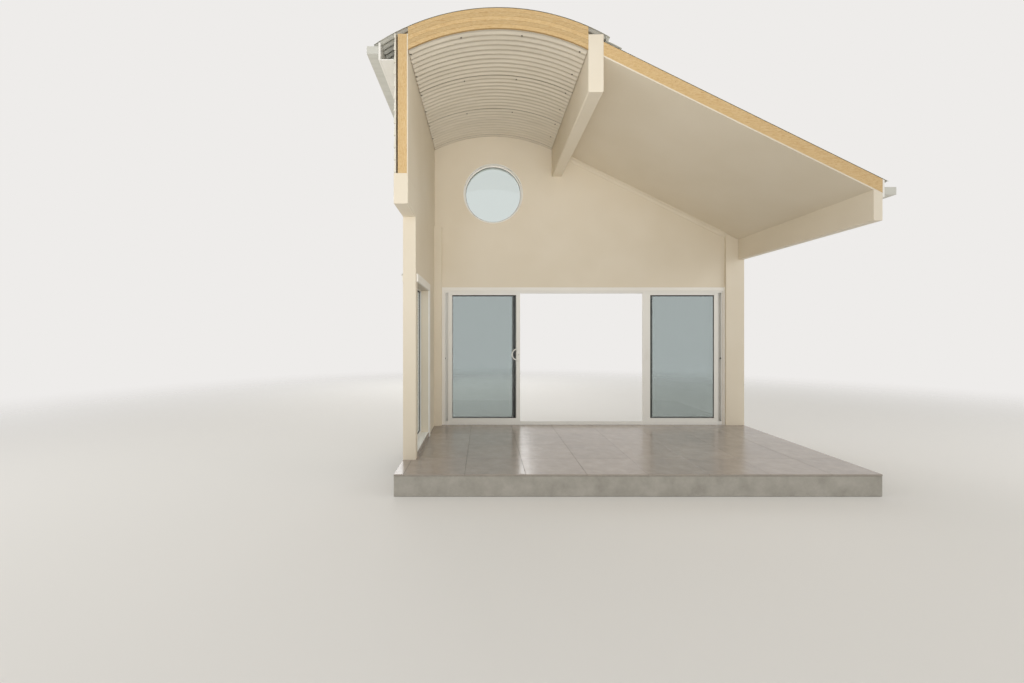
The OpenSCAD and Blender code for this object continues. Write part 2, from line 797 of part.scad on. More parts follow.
module slider_frame() {
    x0 = slider_x0;
    x1 = slider_x0 + slider_w;
    difference() {
        union() {
            panel_stile(x0, stile, slider_y0, panel_z0, panel_z1, false);
            panel_stile(x1 - lock_stile, lock_stile, slider_y0, panel_z0, panel_z1, true);
            block(x0 + slider_fin, x0 + slider_fin + fin_t, slider_y0 + panel_t - 1,
                slider_y0 + panel_t + fin_d, rail_top + 4, panel_z1 - head_lip - 4);
            panel_rail(x0 + stile, x1 - lock_stile, slider_y0, panel_z0,
                bottom_rail_top - panel_z0, false);
            panel_rail(x0 + stile, x1 - lock_stile, slider_y0, glass_z1,
                panel_z1 - glass_z1, true);
        }
        // groove that runs over the sill's rail and holds the rollers
        block(x0 - 1, x1 + 1, slider_y0 + (panel_t - groove_w) / 2,
            slider_y0 + (panel_t + groove_w) / 2, panel_z0 - 1, groove_top);
    }
}
module slider_glass() {
    block(slider_x0 + stile - glass_in, slider_x0 + slider_w - lock_stile + glass_in,
        slider_y0 + (panel_t - glass_t) / 2, slider_y0 + (panel_t + glass_t) / 2,
        bottom_rail_top - glass_in, glass_z1 + glass_in);
}
module slider_rollers() {
    for (x = [slider_x0 + 120, slider_x0 + slider_w - 120])
        translate([x, slider_y0 + panel_t / 2, roller_z]) rotate([90, 0, 0]) {
            translate([0, 0, -roller_w / 2]) cylinder(r = roller_r, h = roller_w, $fn = 48);
            translate([0, 0, -groove_w / 2]) cylinder(r = 3, h = groove_w, $fn = 24);
        }
}
module left_slider_frame() {
    color(white) slider_frame();
}
module left_slider_glass() {
    color(glass_colour) slider_glass();
}
module left_slider_rollers() {
    color(metal) slider_rollers();
}
// A bow on two feet, on a backplate with rounded ends that holds the lock cylinder
module left_slider_handle() {
    bar_r = 9;
    bow_in = 38;
    plate_in = 26;
    plate_r = 21;
    reach = handle_h / 2 - bar_r;
    stand = 34;
    color(white)
    translate([slider_x0 + slider_w, slider_y0, handle_z]) rotate([90, 0, 0]) {
        linear_extrude(7) hull() for (s = [-1, 1]) translate([-plate_in, s * reach])
            circle(plate_r, $fn = 32);
        translate([-bow_in, 0, stand]) rotate([0, 0, 90])
            rotate_extrude(angle = 180, $fn = round_fn) translate([reach, 0])
                circle(bar_r, $fn = 24);
        for (s = [-1, 1]) translate([-bow_in, s * reach, 0])
            cylinder(r = bar_r, h = stand + bar_r, $fn = 24);
        translate([-bow_in / 2, 0, 0]) cylinder(r = 9, h = 16, $fn = 32);
    }
}
module right_slider_frame() {
    xm = 2 * door_cx - slider_x0 - slider_w;
    color(white) {
        mirror_door() slider_frame();
        // meeting post that closes against the other panel
        block(xm - astragal_w, xm, slider_y0, slider_y0 + panel_t, panel_z0 + 14, panel_z1 - 5);
    }
}
module right_slider_glass() {
    color(glass_colour) mirror_door() slider_glass();
}
module right_slider_rollers() {
    color(metal) mirror_door() slider_rollers();
}
module right_slider_pull() {
    x = 2 * door_cx - slider_x0 - slider_w + lock_stile / 2;
    color(white)
    translate([x, slider_y0, handle_z]) rotate([90, 0, 0]) difference() {
        linear_extrude(6) hull() for (s = [-1, 1]) translate([0, s * 70])
            circle(17, $fn = 32);
        translate([0, 0, 2]) linear_extrude(6) hull() for (s = [-1, 1])
            translate([0, s * 50]) circle(9, $fn = 32);
    }
}

place() floor_slab();
place() floor_tiles();
place() gable_lining();
place() gable_core_over_doors();
place() gable_core_piers();
place() gable_cladding_over_doors();
place() gable_cladding_piers();
place() corner_post();
place() end_post();
place() return_lining();
place() return_core();
place() return_cladding();
place() free_post();
place() side_beam();
place() vault_beam();
place() eaves_beam();
place() side_window_frame();
place() side_window_glass();
place() side_window_reveal();
place() side_window_architrave();
place() side_window_kerb();
place() porthole_reveal();
place() porthole_frame();
place() porthole_glass();
place() vault_lining_1();
place() vault_lining_2();
place() vault_lining_3();
place() vault_lining_4();
place() vault_purlins();
place() vault_roof_sheets();
place() vault_barge();
place() vault_end_rib();
place() vault_fascia();
place() vault_soffit();
place() vault_gutter();
place() rake_lining();
place() rake_rafters();
place() rake_roof_sheets();
place() rake_barge();
place() rake_fascia();
place() rake_soffit();
place() rake_gutter();
place() rake_cornice();
place() apron_flashing();
place() door_head();
place() door_sill();
place() door_jambs();
place() door_bumpers();
place() door_trim();
place() fixed_panel_frames();
place() fixed_panel_glass();
place() left_slider_frame();
place() left_slider_glass();
place() left_slider_rollers();
place() left_slider_handle();
place() right_slider_frame();
place() right_slider_glass();
place() right_slider_rollers();
place() right_slider_pull();
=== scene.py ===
"""Vaulted window bay of a beach house: looks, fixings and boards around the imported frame."""
import math

import bmesh
import bpy
from mathutils import Matrix, Vector


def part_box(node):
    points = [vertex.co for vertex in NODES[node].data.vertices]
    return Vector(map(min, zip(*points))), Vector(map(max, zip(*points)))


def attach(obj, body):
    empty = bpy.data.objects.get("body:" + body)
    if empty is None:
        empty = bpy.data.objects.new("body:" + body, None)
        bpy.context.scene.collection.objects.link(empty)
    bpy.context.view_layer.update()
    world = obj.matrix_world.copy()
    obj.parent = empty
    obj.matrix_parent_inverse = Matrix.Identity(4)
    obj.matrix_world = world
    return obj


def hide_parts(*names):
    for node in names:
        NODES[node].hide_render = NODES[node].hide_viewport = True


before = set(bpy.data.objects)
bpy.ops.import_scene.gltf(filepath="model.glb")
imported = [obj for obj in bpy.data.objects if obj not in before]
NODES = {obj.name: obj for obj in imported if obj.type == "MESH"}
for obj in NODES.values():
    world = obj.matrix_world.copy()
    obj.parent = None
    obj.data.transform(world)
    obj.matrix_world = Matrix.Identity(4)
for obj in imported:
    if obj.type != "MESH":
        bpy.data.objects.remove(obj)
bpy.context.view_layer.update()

MM = 0.001
FLUTE_PITCH = 76.2
SHARP = math.radians(35)
# The bay's own corner: the return wall's face, the gable wall's face and the floor's top
CORNER = Vector((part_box("return_lining")[1].x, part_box("gable_lining")[0].y,
                 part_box("floor_tiles")[1].z))


def at(x, y, z):
    """A point given in millimetres from the bay's corner, in the part's frame in metres."""
    return CORNER + Vector((x, y, z)) * MM


def span(node_name):
    """A node's box in millimetres from the bay's corner."""
    low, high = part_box(node_name)
    return (low - CORNER) / MM, (high - CORNER) / MM


def link(name, data):
    made = bpy.data.objects.new(name, data)
    bpy.context.scene.collection.objects.link(made)
    return made


# The camera looks level into the bay from the room
camera_data = bpy.data.cameras.new("camera")
camera_data.sensor_width = 36
camera_data.lens = 15.5
camera_data.shift_x = 0.0273
camera_data.shift_y = -0.0083
camera_data.clip_end = 200
camera = link("camera", camera_data)
camera.location = at(750, -6690, 1392)
camera.rotation_euler = (math.pi / 2, 0, 0)
bpy.context.scene.camera = camera


# Node trees
MAPPING, NOISE, RAMP = "ShaderNodeMapping", "ShaderNodeTexNoise", "ShaderNodeValToRGB"
MATHS, MAP_RANGE, BUMP = "ShaderNodeMath", "ShaderNodeMapRange", "ShaderNodeBump"
VECTOR_MATHS, MIX_SHADER = "ShaderNodeVectorMath", "ShaderNodeMixShader"


def linear(colour):
    """Linear RGBA of an sRGB hex colour."""
    parts = [int(colour[i:i + 2], 16) / 255 for i in (1, 3, 5)]
    return [c / 12.92 if c <= 0.04045 else ((c + 0.055) / 1.055) ** 2.4 for c in parts] + [1]


def node(tree, kind, inputs=None, stops=(), **settings):
    """Adds a node. An input takes a value, a socket, or a node, which feeds it by its first
    output. Stops are a colour ramp's places, each with its colour or grey."""
    new = tree.nodes.new(kind)
    for key, value in settings.items():
        setattr(new, key, value)
    for key, value in (inputs or {}).items():
        if isinstance(value, bpy.types.Node):
            value = value.outputs[0]
        if isinstance(value, bpy.types.NodeSocket):
            tree.links.new(value, new.inputs[key])
        else:
            new.inputs[key].default_value = value
    if stops:
        points = new.color_ramp.elements
        while len(points) < len(stops):
            points.new(0.5)
        for point, (where, colour) in zip(points, stops):
            point.position = where
            point.color = linear(colour) if isinstance(colour, str) else (colour,) * 3 + (1,)
    return new


def per(size_mm):
    """A noise's scale for blobs of a size in millimetres."""
    return 1 / (size_mm * MM)


def finish(name, colour, roughness, **sockets):
    """A material with one Principled shader, its tree and its Object coordinates."""
    made = bpy.data.materials.new(name)
    made.use_nodes = True
    tree = made.node_tree
    tree.nodes.clear()
    values = {"Base Color": linear(colour), "Roughness": roughness}
    values.update({key.replace("_", " "): value for key, value in sockets.items()})
    shader = node(tree, "ShaderNodeBsdfPrincipled", values)
    node(tree, "ShaderNodeOutputMaterial", {"Surface": shader})
    return made, tree, shader, node(tree, "ShaderNodeTexCoord").outputs["Object"]


def feed(tree, fed, sources):
    """Lets other nodes drive a node's sockets."""
    for socket, source in sources.items():
        tree.links.new(source.outputs[0], fed.inputs[socket])


def wall_paint():
    # low-sheen acrylic rolled on lining board: a soft stipple and the faintest clouds of tone
    made, tree, shader, spot = finish("low_sheen_acrylic_paint", "#e4d9c5", 0.55)
    cloud = node(tree, NOISE, {"Vector": spot, "Scale": per(700), "Detail": 2})
    tone = node(tree, RAMP, {"Fac": cloud}, [(0.3, "#e2d7c2"), (0.7, "#e7ddca")])
    # roller stipple is 1 to 2 mm: drawn at 5 mm so that it shows
    stipple = node(tree, NOISE, {"Vector": spot, "Scale": per(5), "Detail": 2})
    relief = node(tree, BUMP, {"Height": stipple, "Distance": 0.25 * MM, "Strength": 0.35})
    feed(tree, shader, {"Base Color": tone, "Normal": relief})
    return made


def enamelled_sheet(name, colour, darker, roughness, stretch, hollow_shade=0.0):
    # polyester enamel baked on roll-formed steel: satin, with faint streaks along the flutes
    made, tree, shader, spot = finish(name, colour, roughness, Coat_Weight=0.15,
                                      Coat_Roughness=0.25)
    drawn = node(tree, MAPPING, {"Vector": spot, "Scale": [1 / s for s in stretch]})
    streak = node(tree, NOISE, {"Vector": drawn, "Scale": per(30), "Detail": 3})
    tone = node(tree, RAMP, {"Fac": streak}, [(0.25, darker), (0.6, colour)])
    if hollow_shade:
        # painted shade darkens the hollows, halfway between the crests that face the room
        axes = node(tree, "ShaderNodeSeparateXYZ", {0: spot})
        from_wall = node(tree, MATHS, {0: axes.outputs["Y"], 1: CORNER.y},
                         operation="SUBTRACT")
        angle = node(tree, MATHS, {0: from_wall, 1: 2 * math.pi / (FLUTE_PITCH * MM)},
                     operation="MULTIPLY")
        height = node(tree, MATHS, {0: angle}, operation="COSINE")
        level = node(tree, MAP_RANGE, {"Value": height, "From Min": -0.5, "From Max": -1.0,
                                       "To Min": 1.0, "To Max": 1.0 - hollow_shade})
        tone = node(tree, VECTOR_MATHS, {0: tone, "Scale": level}, operation="SCALE")
    worn = node(tree, NOISE, {"Vector": spot, "Scale": per(90), "Detail": 4})
    gloss = node(tree, RAMP, {"Fac": worn}, [(0.2, roughness - 0.06), (0.8, roughness + 0.1)])
    peel = node(tree, NOISE, {"Vector": spot, "Scale": per(9), "Detail": 1})
    relief = node(tree, BUMP, {"Height": peel, "Distance": 0.15 * MM, "Strength": 0.25})
    feed(tree, shader, {"Base Color": tone, "Roughness": gloss, "Normal": relief})
    return made


def powder_coat(name, colour, roughness):
    # polyester powder coat on extruded aluminium: even, with a fine orange peel
    made, tree, shader, spot = finish(name, colour, roughness)
    # the peel is under 1 mm: drawn at 3 mm
    peel = node(tree, NOISE, {"Vector": spot, "Scale": per(3), "Detail": 1})
    relief = node(tree, BUMP, {"Height": peel, "Distance": 0.08 * MM, "Strength": 0.3})
    worn = node(tree, NOISE, {"Vector": spot, "Scale": per(160), "Detail": 3})
    gloss = node(tree, RAMP, {"Fac": worn}, [(0.3, roughness - 0.05), (0.7, roughness + 0.05)])
    feed(tree, shader, {"Roughness": gloss, "Normal": relief})
    return made


def trim_paint():
    # satin enamel brushed on primed timber: faint strokes
    made, tree, shader, spot = finish("satin_enamel_on_timber", "#f3f0e9", 0.4)
    stroke = node(tree, NOISE, {"Vector": spot, "Scale": per(42), "Detail": 2})
    relief = node(tree, BUMP, {"Height": stroke, "Distance": 0.1 * MM, "Strength": 0.25})
    cloud = node(tree, NOISE, {"Vector": spot, "Scale": per(400), "Detail": 3})
    tone = node(tree, RAMP, {"Fac": cloud}, [(0.3, "#f0ede5"), (0.7, "#f5f2ec")])
    feed(tree, shader, {"Base Color": tone, "Normal": relief})
    return made


def board_paint(name, stretch):
    # exterior acrylic on sawn boards: the grain still reads through two coats
    made, tree, shader, spot = finish(name, "#e4dfd1", 0.6)
    drawn = node(tree, MAPPING, {"Vector": spot, "Scale": [1 / s for s in stretch]})
    grain = node(tree, NOISE, {"Vector": drawn, "Scale": per(6), "Detail": 4,
                               "Roughness": 0.6})
    relief = node(tree, BUMP, {"Height": grain, "Distance": 0.6 * MM, "Strength": 0.4})
    weather = node(tree, NOISE, {"Vector": spot, "Scale": per(500), "Detail": 5,
                                 "Roughness": 0.6})
    tone = node(tree, RAMP, {"Fac": weather}, [(0.3, "#dcd6c6"), (0.65, "#e8e3d6")])
    feed(tree, shader, {"Base Color": tone, "Normal": relief})
    return made


def pine(name, stretch):
    # dressed radiata pine: pale, with fine lines of darker late wood
    made, tree, shader, spot = finish(name, "#d9bb86", 0.6)
    drawn = node(tree, MAPPING, {"Vector": spot, "Scale": [1 / s for s in stretch]})
    growth = node(tree, NOISE, {"Vector": drawn, "Scale": per(14), "Detail": 3,
                                "Roughness": 0.55})
    rings = node(tree, MATHS, {0: growth, 1: 9.0}, operation="MULTIPLY")
    ring = node(tree, MATHS, {0: rings, 1: 1.0}, operation="FRACT")
    tone = node(tree, RAMP, {"Fac": ring}, [(0.0, "#dcc091"), (0.7, "#d2b27c"),
                                            (1.0, "#b98e58")])
    # boards that carry a tone differ a little, and glue lines carry a high one
    board = node(tree, "ShaderNodeAttribute", attribute_name="tone")
    level = node(tree, MAP_RANGE, {"Value": board.outputs["Fac"], "To Min": 1.0,
                                   "To Max": 0.86}, clamp=False)
    toned = node(tree, VECTOR_MATHS, {0: tone, "Scale": level}, operation="SCALE")
    relief = node(tree, BUMP, {"Height": ring, "Distance": 0.2 * MM, "Strength": 0.3})
    feed(tree, shader, {"Base Color": toned, "Normal": relief})
    return made


def porcelain():
    # half-polished through-body porcelain: cloudy grey-beige, a little tone per tile
    made, tree, shader, spot = finish("half_polished_porcelain", "#a59b91", 0.2)
    cloud = node(tree, NOISE, {"Vector": spot, "Scale": per(130), "Detail": 6,
                               "Roughness": 0.62})
    tone = node(tree, RAMP, {"Fac": cloud}, [(0.3, "#9d938a"), (0.52, "#a59b91"),
                                             (0.72, "#ada399")])
    tile = node(tree, "ShaderNodeAttribute", attribute_name="tone")
    level = node(tree, MAP_RANGE, {"Value": tile.outputs["Fac"], "To Min": 0.95,
                                   "To Max": 1.05})
    toned = node(tree, VECTOR_MATHS, {0: tone, "Scale": level}, operation="SCALE")
    polish = node(tree, NOISE, {"Vector": spot, "Scale": per(60), "Detail": 5})
    gloss = node(tree, RAMP, {"Fac": polish}, [(0.3, 0.16), (0.7, 0.26)])
    wave = node(tree, NOISE, {"Vector": spot, "Scale": per(260), "Detail": 1})
    relief = node(tree, BUMP, {"Height": wave, "Distance": 0.35 * MM, "Strength": 0.25})
    feed(tree, shader, {"Base Color": toned, "Roughness": gloss, "Normal": relief})
    return made


def mottled(name, light, dark, size_mm, roughness=0.85):
    # cement, grout and sealant: mottled, with pinholes
    made, tree, shader, spot = finish(name, light, roughness)
    mottle = node(tree, NOISE, {"Vector": spot, "Scale": per(size_mm), "Detail": 7,
                                "Roughness": 0.65})
    tone = node(tree, RAMP, {"Fac": mottle}, [(0.3, dark), (0.65, light)])
    sand = node(tree, NOISE, {"Vector": spot, "Scale": per(12), "Detail": 2})
    pits = node(tree, RAMP, {"Fac": sand}, [(0.26, 0.0), (0.33, 1.0)])
    relief = node(tree, BUMP, {"Height": pits, "Distance": 1.2 * MM, "Strength": 0.5})
    feed(tree, shader, {"Base Color": tone, "Normal": relief})
    return made


def glass(name, tint):
    # float glass 6 mm thick: the tint is in the glass, and lamps shine through it
    made, tree, shader, _ = finish(name, tint, 0.0, IOR=1.5, Transmission_Weight=1.0)
    ray = node(tree, "ShaderNodeLightPath")
    clear = node(tree, "ShaderNodeBsdfTransparent", {"Color": linear(tint)})
    mixed = node(tree, MIX_SHADER, {0: ray.outputs["Is Shadow Ray"], 1: shader, 2: clear})
    feed(tree, tree.nodes["Material Output"], {"Surface": mixed})
    return made


def rubber():
    # extruded EPDM: matt black with a dusty bloom
    made, tree, shader, spot = finish("epdm_rubber", "#23211f", 0.7)
    bloom = node(tree, NOISE, {"Vector": spot, "Scale": per(25), "Detail": 3})
    tone = node(tree, RAMP, {"Fac": bloom}, [(0.3, "#1d1b1a"), (0.7, "#2f2c2a")])
    feed(tree, shader, {"Base Color": tone})
    return made


def woolpile():
    # silicone-treated polypropylene pile: a dense dark fur with no shine; laid wide, it is also
    # painted shade on the interlock behind the glass
    made, tree, shader, spot = finish("woolpile_as_interlock_shade", "#2b2a28", 0.95)
    drawn = node(tree, MAPPING, {"Vector": spot, "Scale": (1, 1 / 6, 1)})
    fibre = node(tree, NOISE, {"Vector": drawn, "Scale": per(4), "Detail": 3})
    tone = node(tree, RAMP, {"Fac": fibre}, [(0.3, "#1f1e1d"), (0.7, "#3a3835")])
    relief = node(tree, BUMP, {"Height": fibre, "Distance": 0.8 * MM, "Strength": 0.6})
    feed(tree, shader, {"Base Color": tone, "Normal": relief})
    return made


def zinc_plate(name, colour, roughness):
    # zinc plate on steel, bright or weathered, with fine turning marks
    made, tree, shader, spot = finish(name, colour, roughness, Metallic=1.0)
    drawn = node(tree, MAPPING, {"Vector": spot, "Scale": (1 / 6, 1, 1)})
    marks = node(tree, NOISE, {"Vector": drawn, "Scale": per(4), "Detail": 3})
    gloss = node(tree, RAMP, {"Fac": marks}, [(0.3, roughness - 0.08),
                                              (0.7, roughness + 0.12)])
    feed(tree, shader, {"Roughness": gloss})
    return made


ALONG_X, ALONG_Y, ALONG_Z = (18, 1, 1), (1, 18, 1), (1, 1, 18)
FINISH = {
    "paint": wall_paint(),
    # the vault's lining gets painted shade in the hollows of its flutes
    "vault_sheet": enamelled_sheet("cream_enamel_on_steel", "#dad1c0", "#d0c7b5", 0.36,
                                   (12, 1, 12), hollow_shade=0.09),
    "roof_sheet": enamelled_sheet("weathered_roofing_enamel", "#d3d2c9", "#c9c8be", 0.45,
                                  (14, 1, 14)),
    "powder": powder_coat("white_powder_coat", "#f1efe9", 0.38),
    "trim": trim_paint(),
    "gable_boards": board_paint("acrylic_on_weatherboard_x", ALONG_X),
    "side_boards": board_paint("acrylic_on_weatherboard_y", ALONG_Y),
    "pine_x": pine("radiata_pine_x", ALONG_X),
    "pine_y": pine("radiata_pine_y", ALONG_Y),
    "pine_z": pine("radiata_pine_z", ALONG_Z),
    "tile": porcelain(),
    "grout": mottled("flexible_grout", "#6f685f", "#625b53", 40),
    "mortar": mottled("mortar_bed", "#a7a197", "#969086", 30),
    "concrete": mottled("cast_concrete", "#b4b0a7", "#9d9990", 160),
    "tinted_glass": glass("grey_tinted_float_glass", "#cfd6d6"),
    "clear_glass": glass("clear_float_glass", "#dfe9e8"),
    "rubber": rubber(),
    "steel": zinc_plate("zinc_plated_steel", "#b9b9b4", 0.32),
    "aged_steel": zinc_plate("weathered_zinc_on_steel", "#8d8474", 0.5),
    "woolpile": woolpile(),
    # the dark lap sealant is partly a painted shadow line along the laps
    "sealant": mottled("sealant_as_lap_shadow", "#77705f", "#6a6353", 30, 0.6),
}
NODE_FINISH = {
    "paint": "gable_lining corner_post end_post return_lining free_post side_beam vault_beam "
             "eaves_beam rake_lining rake_cornice",
    "vault_sheet": "vault_lining_1 vault_lining_2 vault_lining_3 vault_lining_4",
    "roof_sheet": "vault_roof_sheets rake_roof_sheets apron_flashing vault_gutter rake_gutter",
    "powder": "porthole_frame side_window_frame door_head door_sill door_jambs "
              "fixed_panel_frames left_slider_frame right_slider_frame left_slider_handle "
              "right_slider_pull",
    "trim": "side_window_reveal side_window_architrave porthole_reveal door_trim vault_barge "
            "vault_fascia vault_soffit rake_barge rake_fascia rake_soffit",
    "gable_boards": "gable_cladding_over_doors gable_cladding_piers",
    "side_boards": "return_cladding",
    "pine_x": "rake_rafters vault_end_rib",
    "pine_y": "vault_purlins",
    "pine_z": "gable_core_over_doors gable_core_piers return_core",
    "tile": "floor_tiles side_window_kerb",
    "concrete": "floor_slab",
    "tinted_glass": "fixed_panel_glass left_slider_glass right_slider_glass side_window_glass",
    "clear_glass": "porthole_glass",
    "rubber": "door_bumpers",
    "steel": "left_slider_rollers right_slider_rollers",
}
FINISH_OF = {name: finish_name for finish_name, names in NODE_FINISH.items()
             for name in names.split()}
for name, finish_name in FINISH_OF.items():
    for slot in NODES[name].material_slots:
        slot.material = FINISH[finish_name]


# Meshes, drawn in millimetres from the bay's corner
def along(axis, u, v, w):
    """The point at w along an axis and at u, v across it."""
    return {"x": (w, u, v), "y": (u, w, v), "z": (u, v, w)}[axis]


def skin(mesh, rows, wrap=True, close=False, caps=False):
    """Adds faces between rows of points. Wrap joins each row's ends, close joins the last row
    to the first, and caps fill the first and the last row."""
    rows = [[mesh.verts.new(point) for point in row] for row in rows]
    for low, high in zip(rows, rows[1:] + (rows[:1] if close else [])):
        for i in range(len(low) if wrap else len(low) - 1):
            j = (i + 1) % len(low)
            mesh.faces.new((low[i], low[j], high[j], high[i]))
    for row in (rows[0], rows[-1]) if caps else ():
        mesh.faces.new(row)
    return rows


def prism(mesh, outline, axis, start, end):
    skin(mesh, [[along(axis, u, v, w) for u, v in outline] for w in (start, end)], caps=True)


def oblong(u0, u1, v0, v1):
    return [(u0, v0), (u1, v0), (u1, v1), (u0, v1)]


def block(mesh, x0, x1, y0, y1, z0, z1):
    prism(mesh, oblong(x0, x1, y0, y1), "z", z0, z1)


def circle(radius, sides):
    return [(radius * math.cos(2 * math.pi * k / sides), radius * math.sin(2 * math.pi * k / sides))
            for k in range(sides)]


def turned(mesh, profile, sides, centre=(0, 0), axis="z"):
    """A turned solid from (radius, height) points along an axis."""
    skin(mesh, [[along(axis, centre[0] + u, centre[1] + v, height)
                 for u, v in circle(radius, sides)] for radius, height in profile], caps=True)


def from_bmesh(name, mesh, in_bay=True):
    """An object from a bmesh in millimetres from the bay's corner, or as it stands."""
    bmesh.ops.recalc_face_normals(mesh, faces=mesh.faces)
    data = bpy.data.meshes.new(name)
    mesh.to_mesh(data)
    mesh.free()
    if in_bay:
        data.transform(Matrix.Translation(CORNER) @ Matrix.Scale(MM, 4))
    return link(name, data)


def length(name, outline, axis, start, end):
    """An object that is one length of a section."""
    mesh = bmesh.new()
    prism(mesh, outline, axis, start, end)
    return from_bmesh(name, mesh)


def bar(name, *sides):
    """An object that is one block."""
    mesh = bmesh.new()
    block(mesh, *sides)
    return from_bmesh(name, mesh)


def apply_all(made):
    """Turns an object's modifiers into its plain mesh."""
    bpy.context.view_layer.update()
    seen_mesh = bpy.data.meshes.new_from_object(
        made.evaluated_get(bpy.context.evaluated_depsgraph_get()))
    made.modifiers.clear()
    made.data = seen_mesh
    return made


def ease(made, radius_mm, segments=2):
    """Rounds the sharp edges of a piece by radius_mm."""
    bevel = made.modifiers.new("eased_edges", "BEVEL")
    bevel.width = radius_mm * MM
    bevel.segments = segments
    bevel.limit_method = "ANGLE"
    bevel.angle_limit = SHARP
    return apply_all(made)


def place(made, finish_name, body="bay", stands_for=()):
    """Gives a finished piece its material and its body, and hides the nodes it stands for."""
    made.data.materials.clear()
    made.data.materials.append(FINISH[finish_name])
    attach(made, body)
    if stands_for:
        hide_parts(*stands_for)
    return made


def cut(made, other, operation):
    """Combines a piece with another mesh, which is then removed."""
    boolean = made.modifiers.new("cut", "BOOLEAN")
    boolean.operation = operation
    boolean.solver = "EXACT"
    boolean.object = other
    apply_all(made)
    bpy.data.objects.remove(other)
    return made


def node_copy(name, new_name):
    """A copy of a node's mesh with its triangles merged into whole faces."""
    mesh = bmesh.new()
    mesh.from_mesh(NODES[name].data)
    bmesh.ops.remove_doubles(mesh, verts=mesh.verts, dist=0.00002)
    bmesh.ops.dissolve_limit(mesh, angle_limit=0.01, verts=mesh.verts, edges=mesh.edges)
    return from_bmesh(new_name, mesh, in_bay=False)


# Trees that repeat a piece
def geometry_tree(name, sockets):
    tree = bpy.data.node_groups.new(name, "GeometryNodeTree")
    tree.interface.new_socket("Geometry", in_out="INPUT", socket_type="NodeSocketGeometry")
    for socket_name, kind in sockets:
        tree.interface.new_socket(socket_name, in_out="INPUT", socket_type="NodeSocket" + kind)
    tree.interface.new_socket("Geometry", in_out="OUTPUT", socket_type="NodeSocketGeometry")
    return tree, node(tree, "NodeGroupInput").outputs


def end_tree(tree, instances, material_socket):
    real = node(tree, "GeometryNodeRealizeInstances", {0: instances})
    painted = node(tree, "GeometryNodeSetMaterial", {"Geometry": real,
                                                     "Material": material_socket})
    node(tree, "NodeGroupOutput", {0: painted})
    return tree


def stack_tree():
    """Repeats the piece at equal steps in a line."""
    tree, given = geometry_tree("repeat_in_line", [("Count", "Int"), ("Step", "Vector"),
                                                   ("Material", "Material")])
    line = node(tree, "GeometryNodeMeshLine", {"Count": given["Count"], "Offset": given["Step"]})
    copies = node(tree, "GeometryNodeInstanceOnPoints", {"Points": line,
                                                         "Instance": given["Geometry"]})
    return end_tree(tree, copies, given["Material"])


def set_out_tree():
    """Repeats the piece at an object's points, turned so that its +Z follows their aim."""
    tree, given = geometry_tree("repeat_at_marks", [("Marks", "Object"), ("Size", "Float"),
                                                    ("Material", "Material")])
    marks = node(tree, "GeometryNodeObjectInfo", {"Object": given["Marks"]})
    aim = node(tree, "GeometryNodeInputNamedAttribute", {"Name": "aim"}, data_type="FLOAT_VECTOR")
    turn = node(tree, "FunctionNodeAlignRotationToVector", {"Vector": aim}, axis="Z")
    copies = node(tree, "GeometryNodeInstanceOnPoints", {
        "Points": marks.outputs["Geometry"], "Instance": given["Geometry"],
        "Rotation": turn, "Scale": given["Size"]})
    return end_tree(tree, copies, given["Material"])


STACK = stack_tree()
SET_OUT = set_out_tree()


def grow(made, tree, **values):
    """Runs a tree on an object with the named inputs, and keeps the result as its mesh."""
    modifier = made.modifiers.new(tree.name, "NODES")
    modifier.node_group = tree
    ids = {item.name: item.identifier for item in tree.interface.items_tree
           if item.item_type == "SOCKET" and item.in_out == "INPUT"}
    for key, value in values.items():
        modifier[ids[key]] = value
    return apply_all(made)


def marks_object(points):
    """Marks for a set-out tree from (x, y, z), (aim) pairs in the bay's millimetres."""
    data = bpy.data.meshes.new("marks")
    data.from_pydata([at(*point) for point, _ in points], [], [])
    aims = data.attributes.new("aim", "FLOAT_VECTOR", "POINT")
    for item, (_, aim) in zip(aims.data, points):
        item.vector = aim
    return link("marks", data)


def fixings(name, piece_mesh, points, finish_name, size):
    """One piece, drawn in millimetres, at every mark."""
    made = from_bmesh(name, piece_mesh, in_bay=False)
    marks = marks_object(points)
    grow(made, SET_OUT, Marks=marks, Size=size * MM, Material=FINISH[finish_name])
    bpy.data.objects.remove(marks)
    return place(made, finish_name)


# The floor: single tiles with grout between them, on a mortar bed
(CUT_X0, CUT_Y, TILE_FOOT), (BAY_W, _, _) = span("floor_tiles")
RETURN_Y = span("free_post")[0].y
TILE, JOINT = 600, 3
TILE_START, TILE_T = -45, 10
JOINT_TOP = -1.2   # the grout lies a little under the tiles' faces
WALL_GAP = 0.5   # the tiles stop short of the return wall's foot


def tile_edges(start, end, step):
    """The (low, high) edges of a line of tiles, with the joints taken off."""
    edges = []
    while (end - start) * step > 0:
        low, high = sorted((start, start + step))
        edges.append((low + JOINT / 2, high - JOINT / 2))
        start += step
    return edges


def clipped(low, high, floor_low, floor_high):
    return max(low, floor_low), min(high, floor_high)


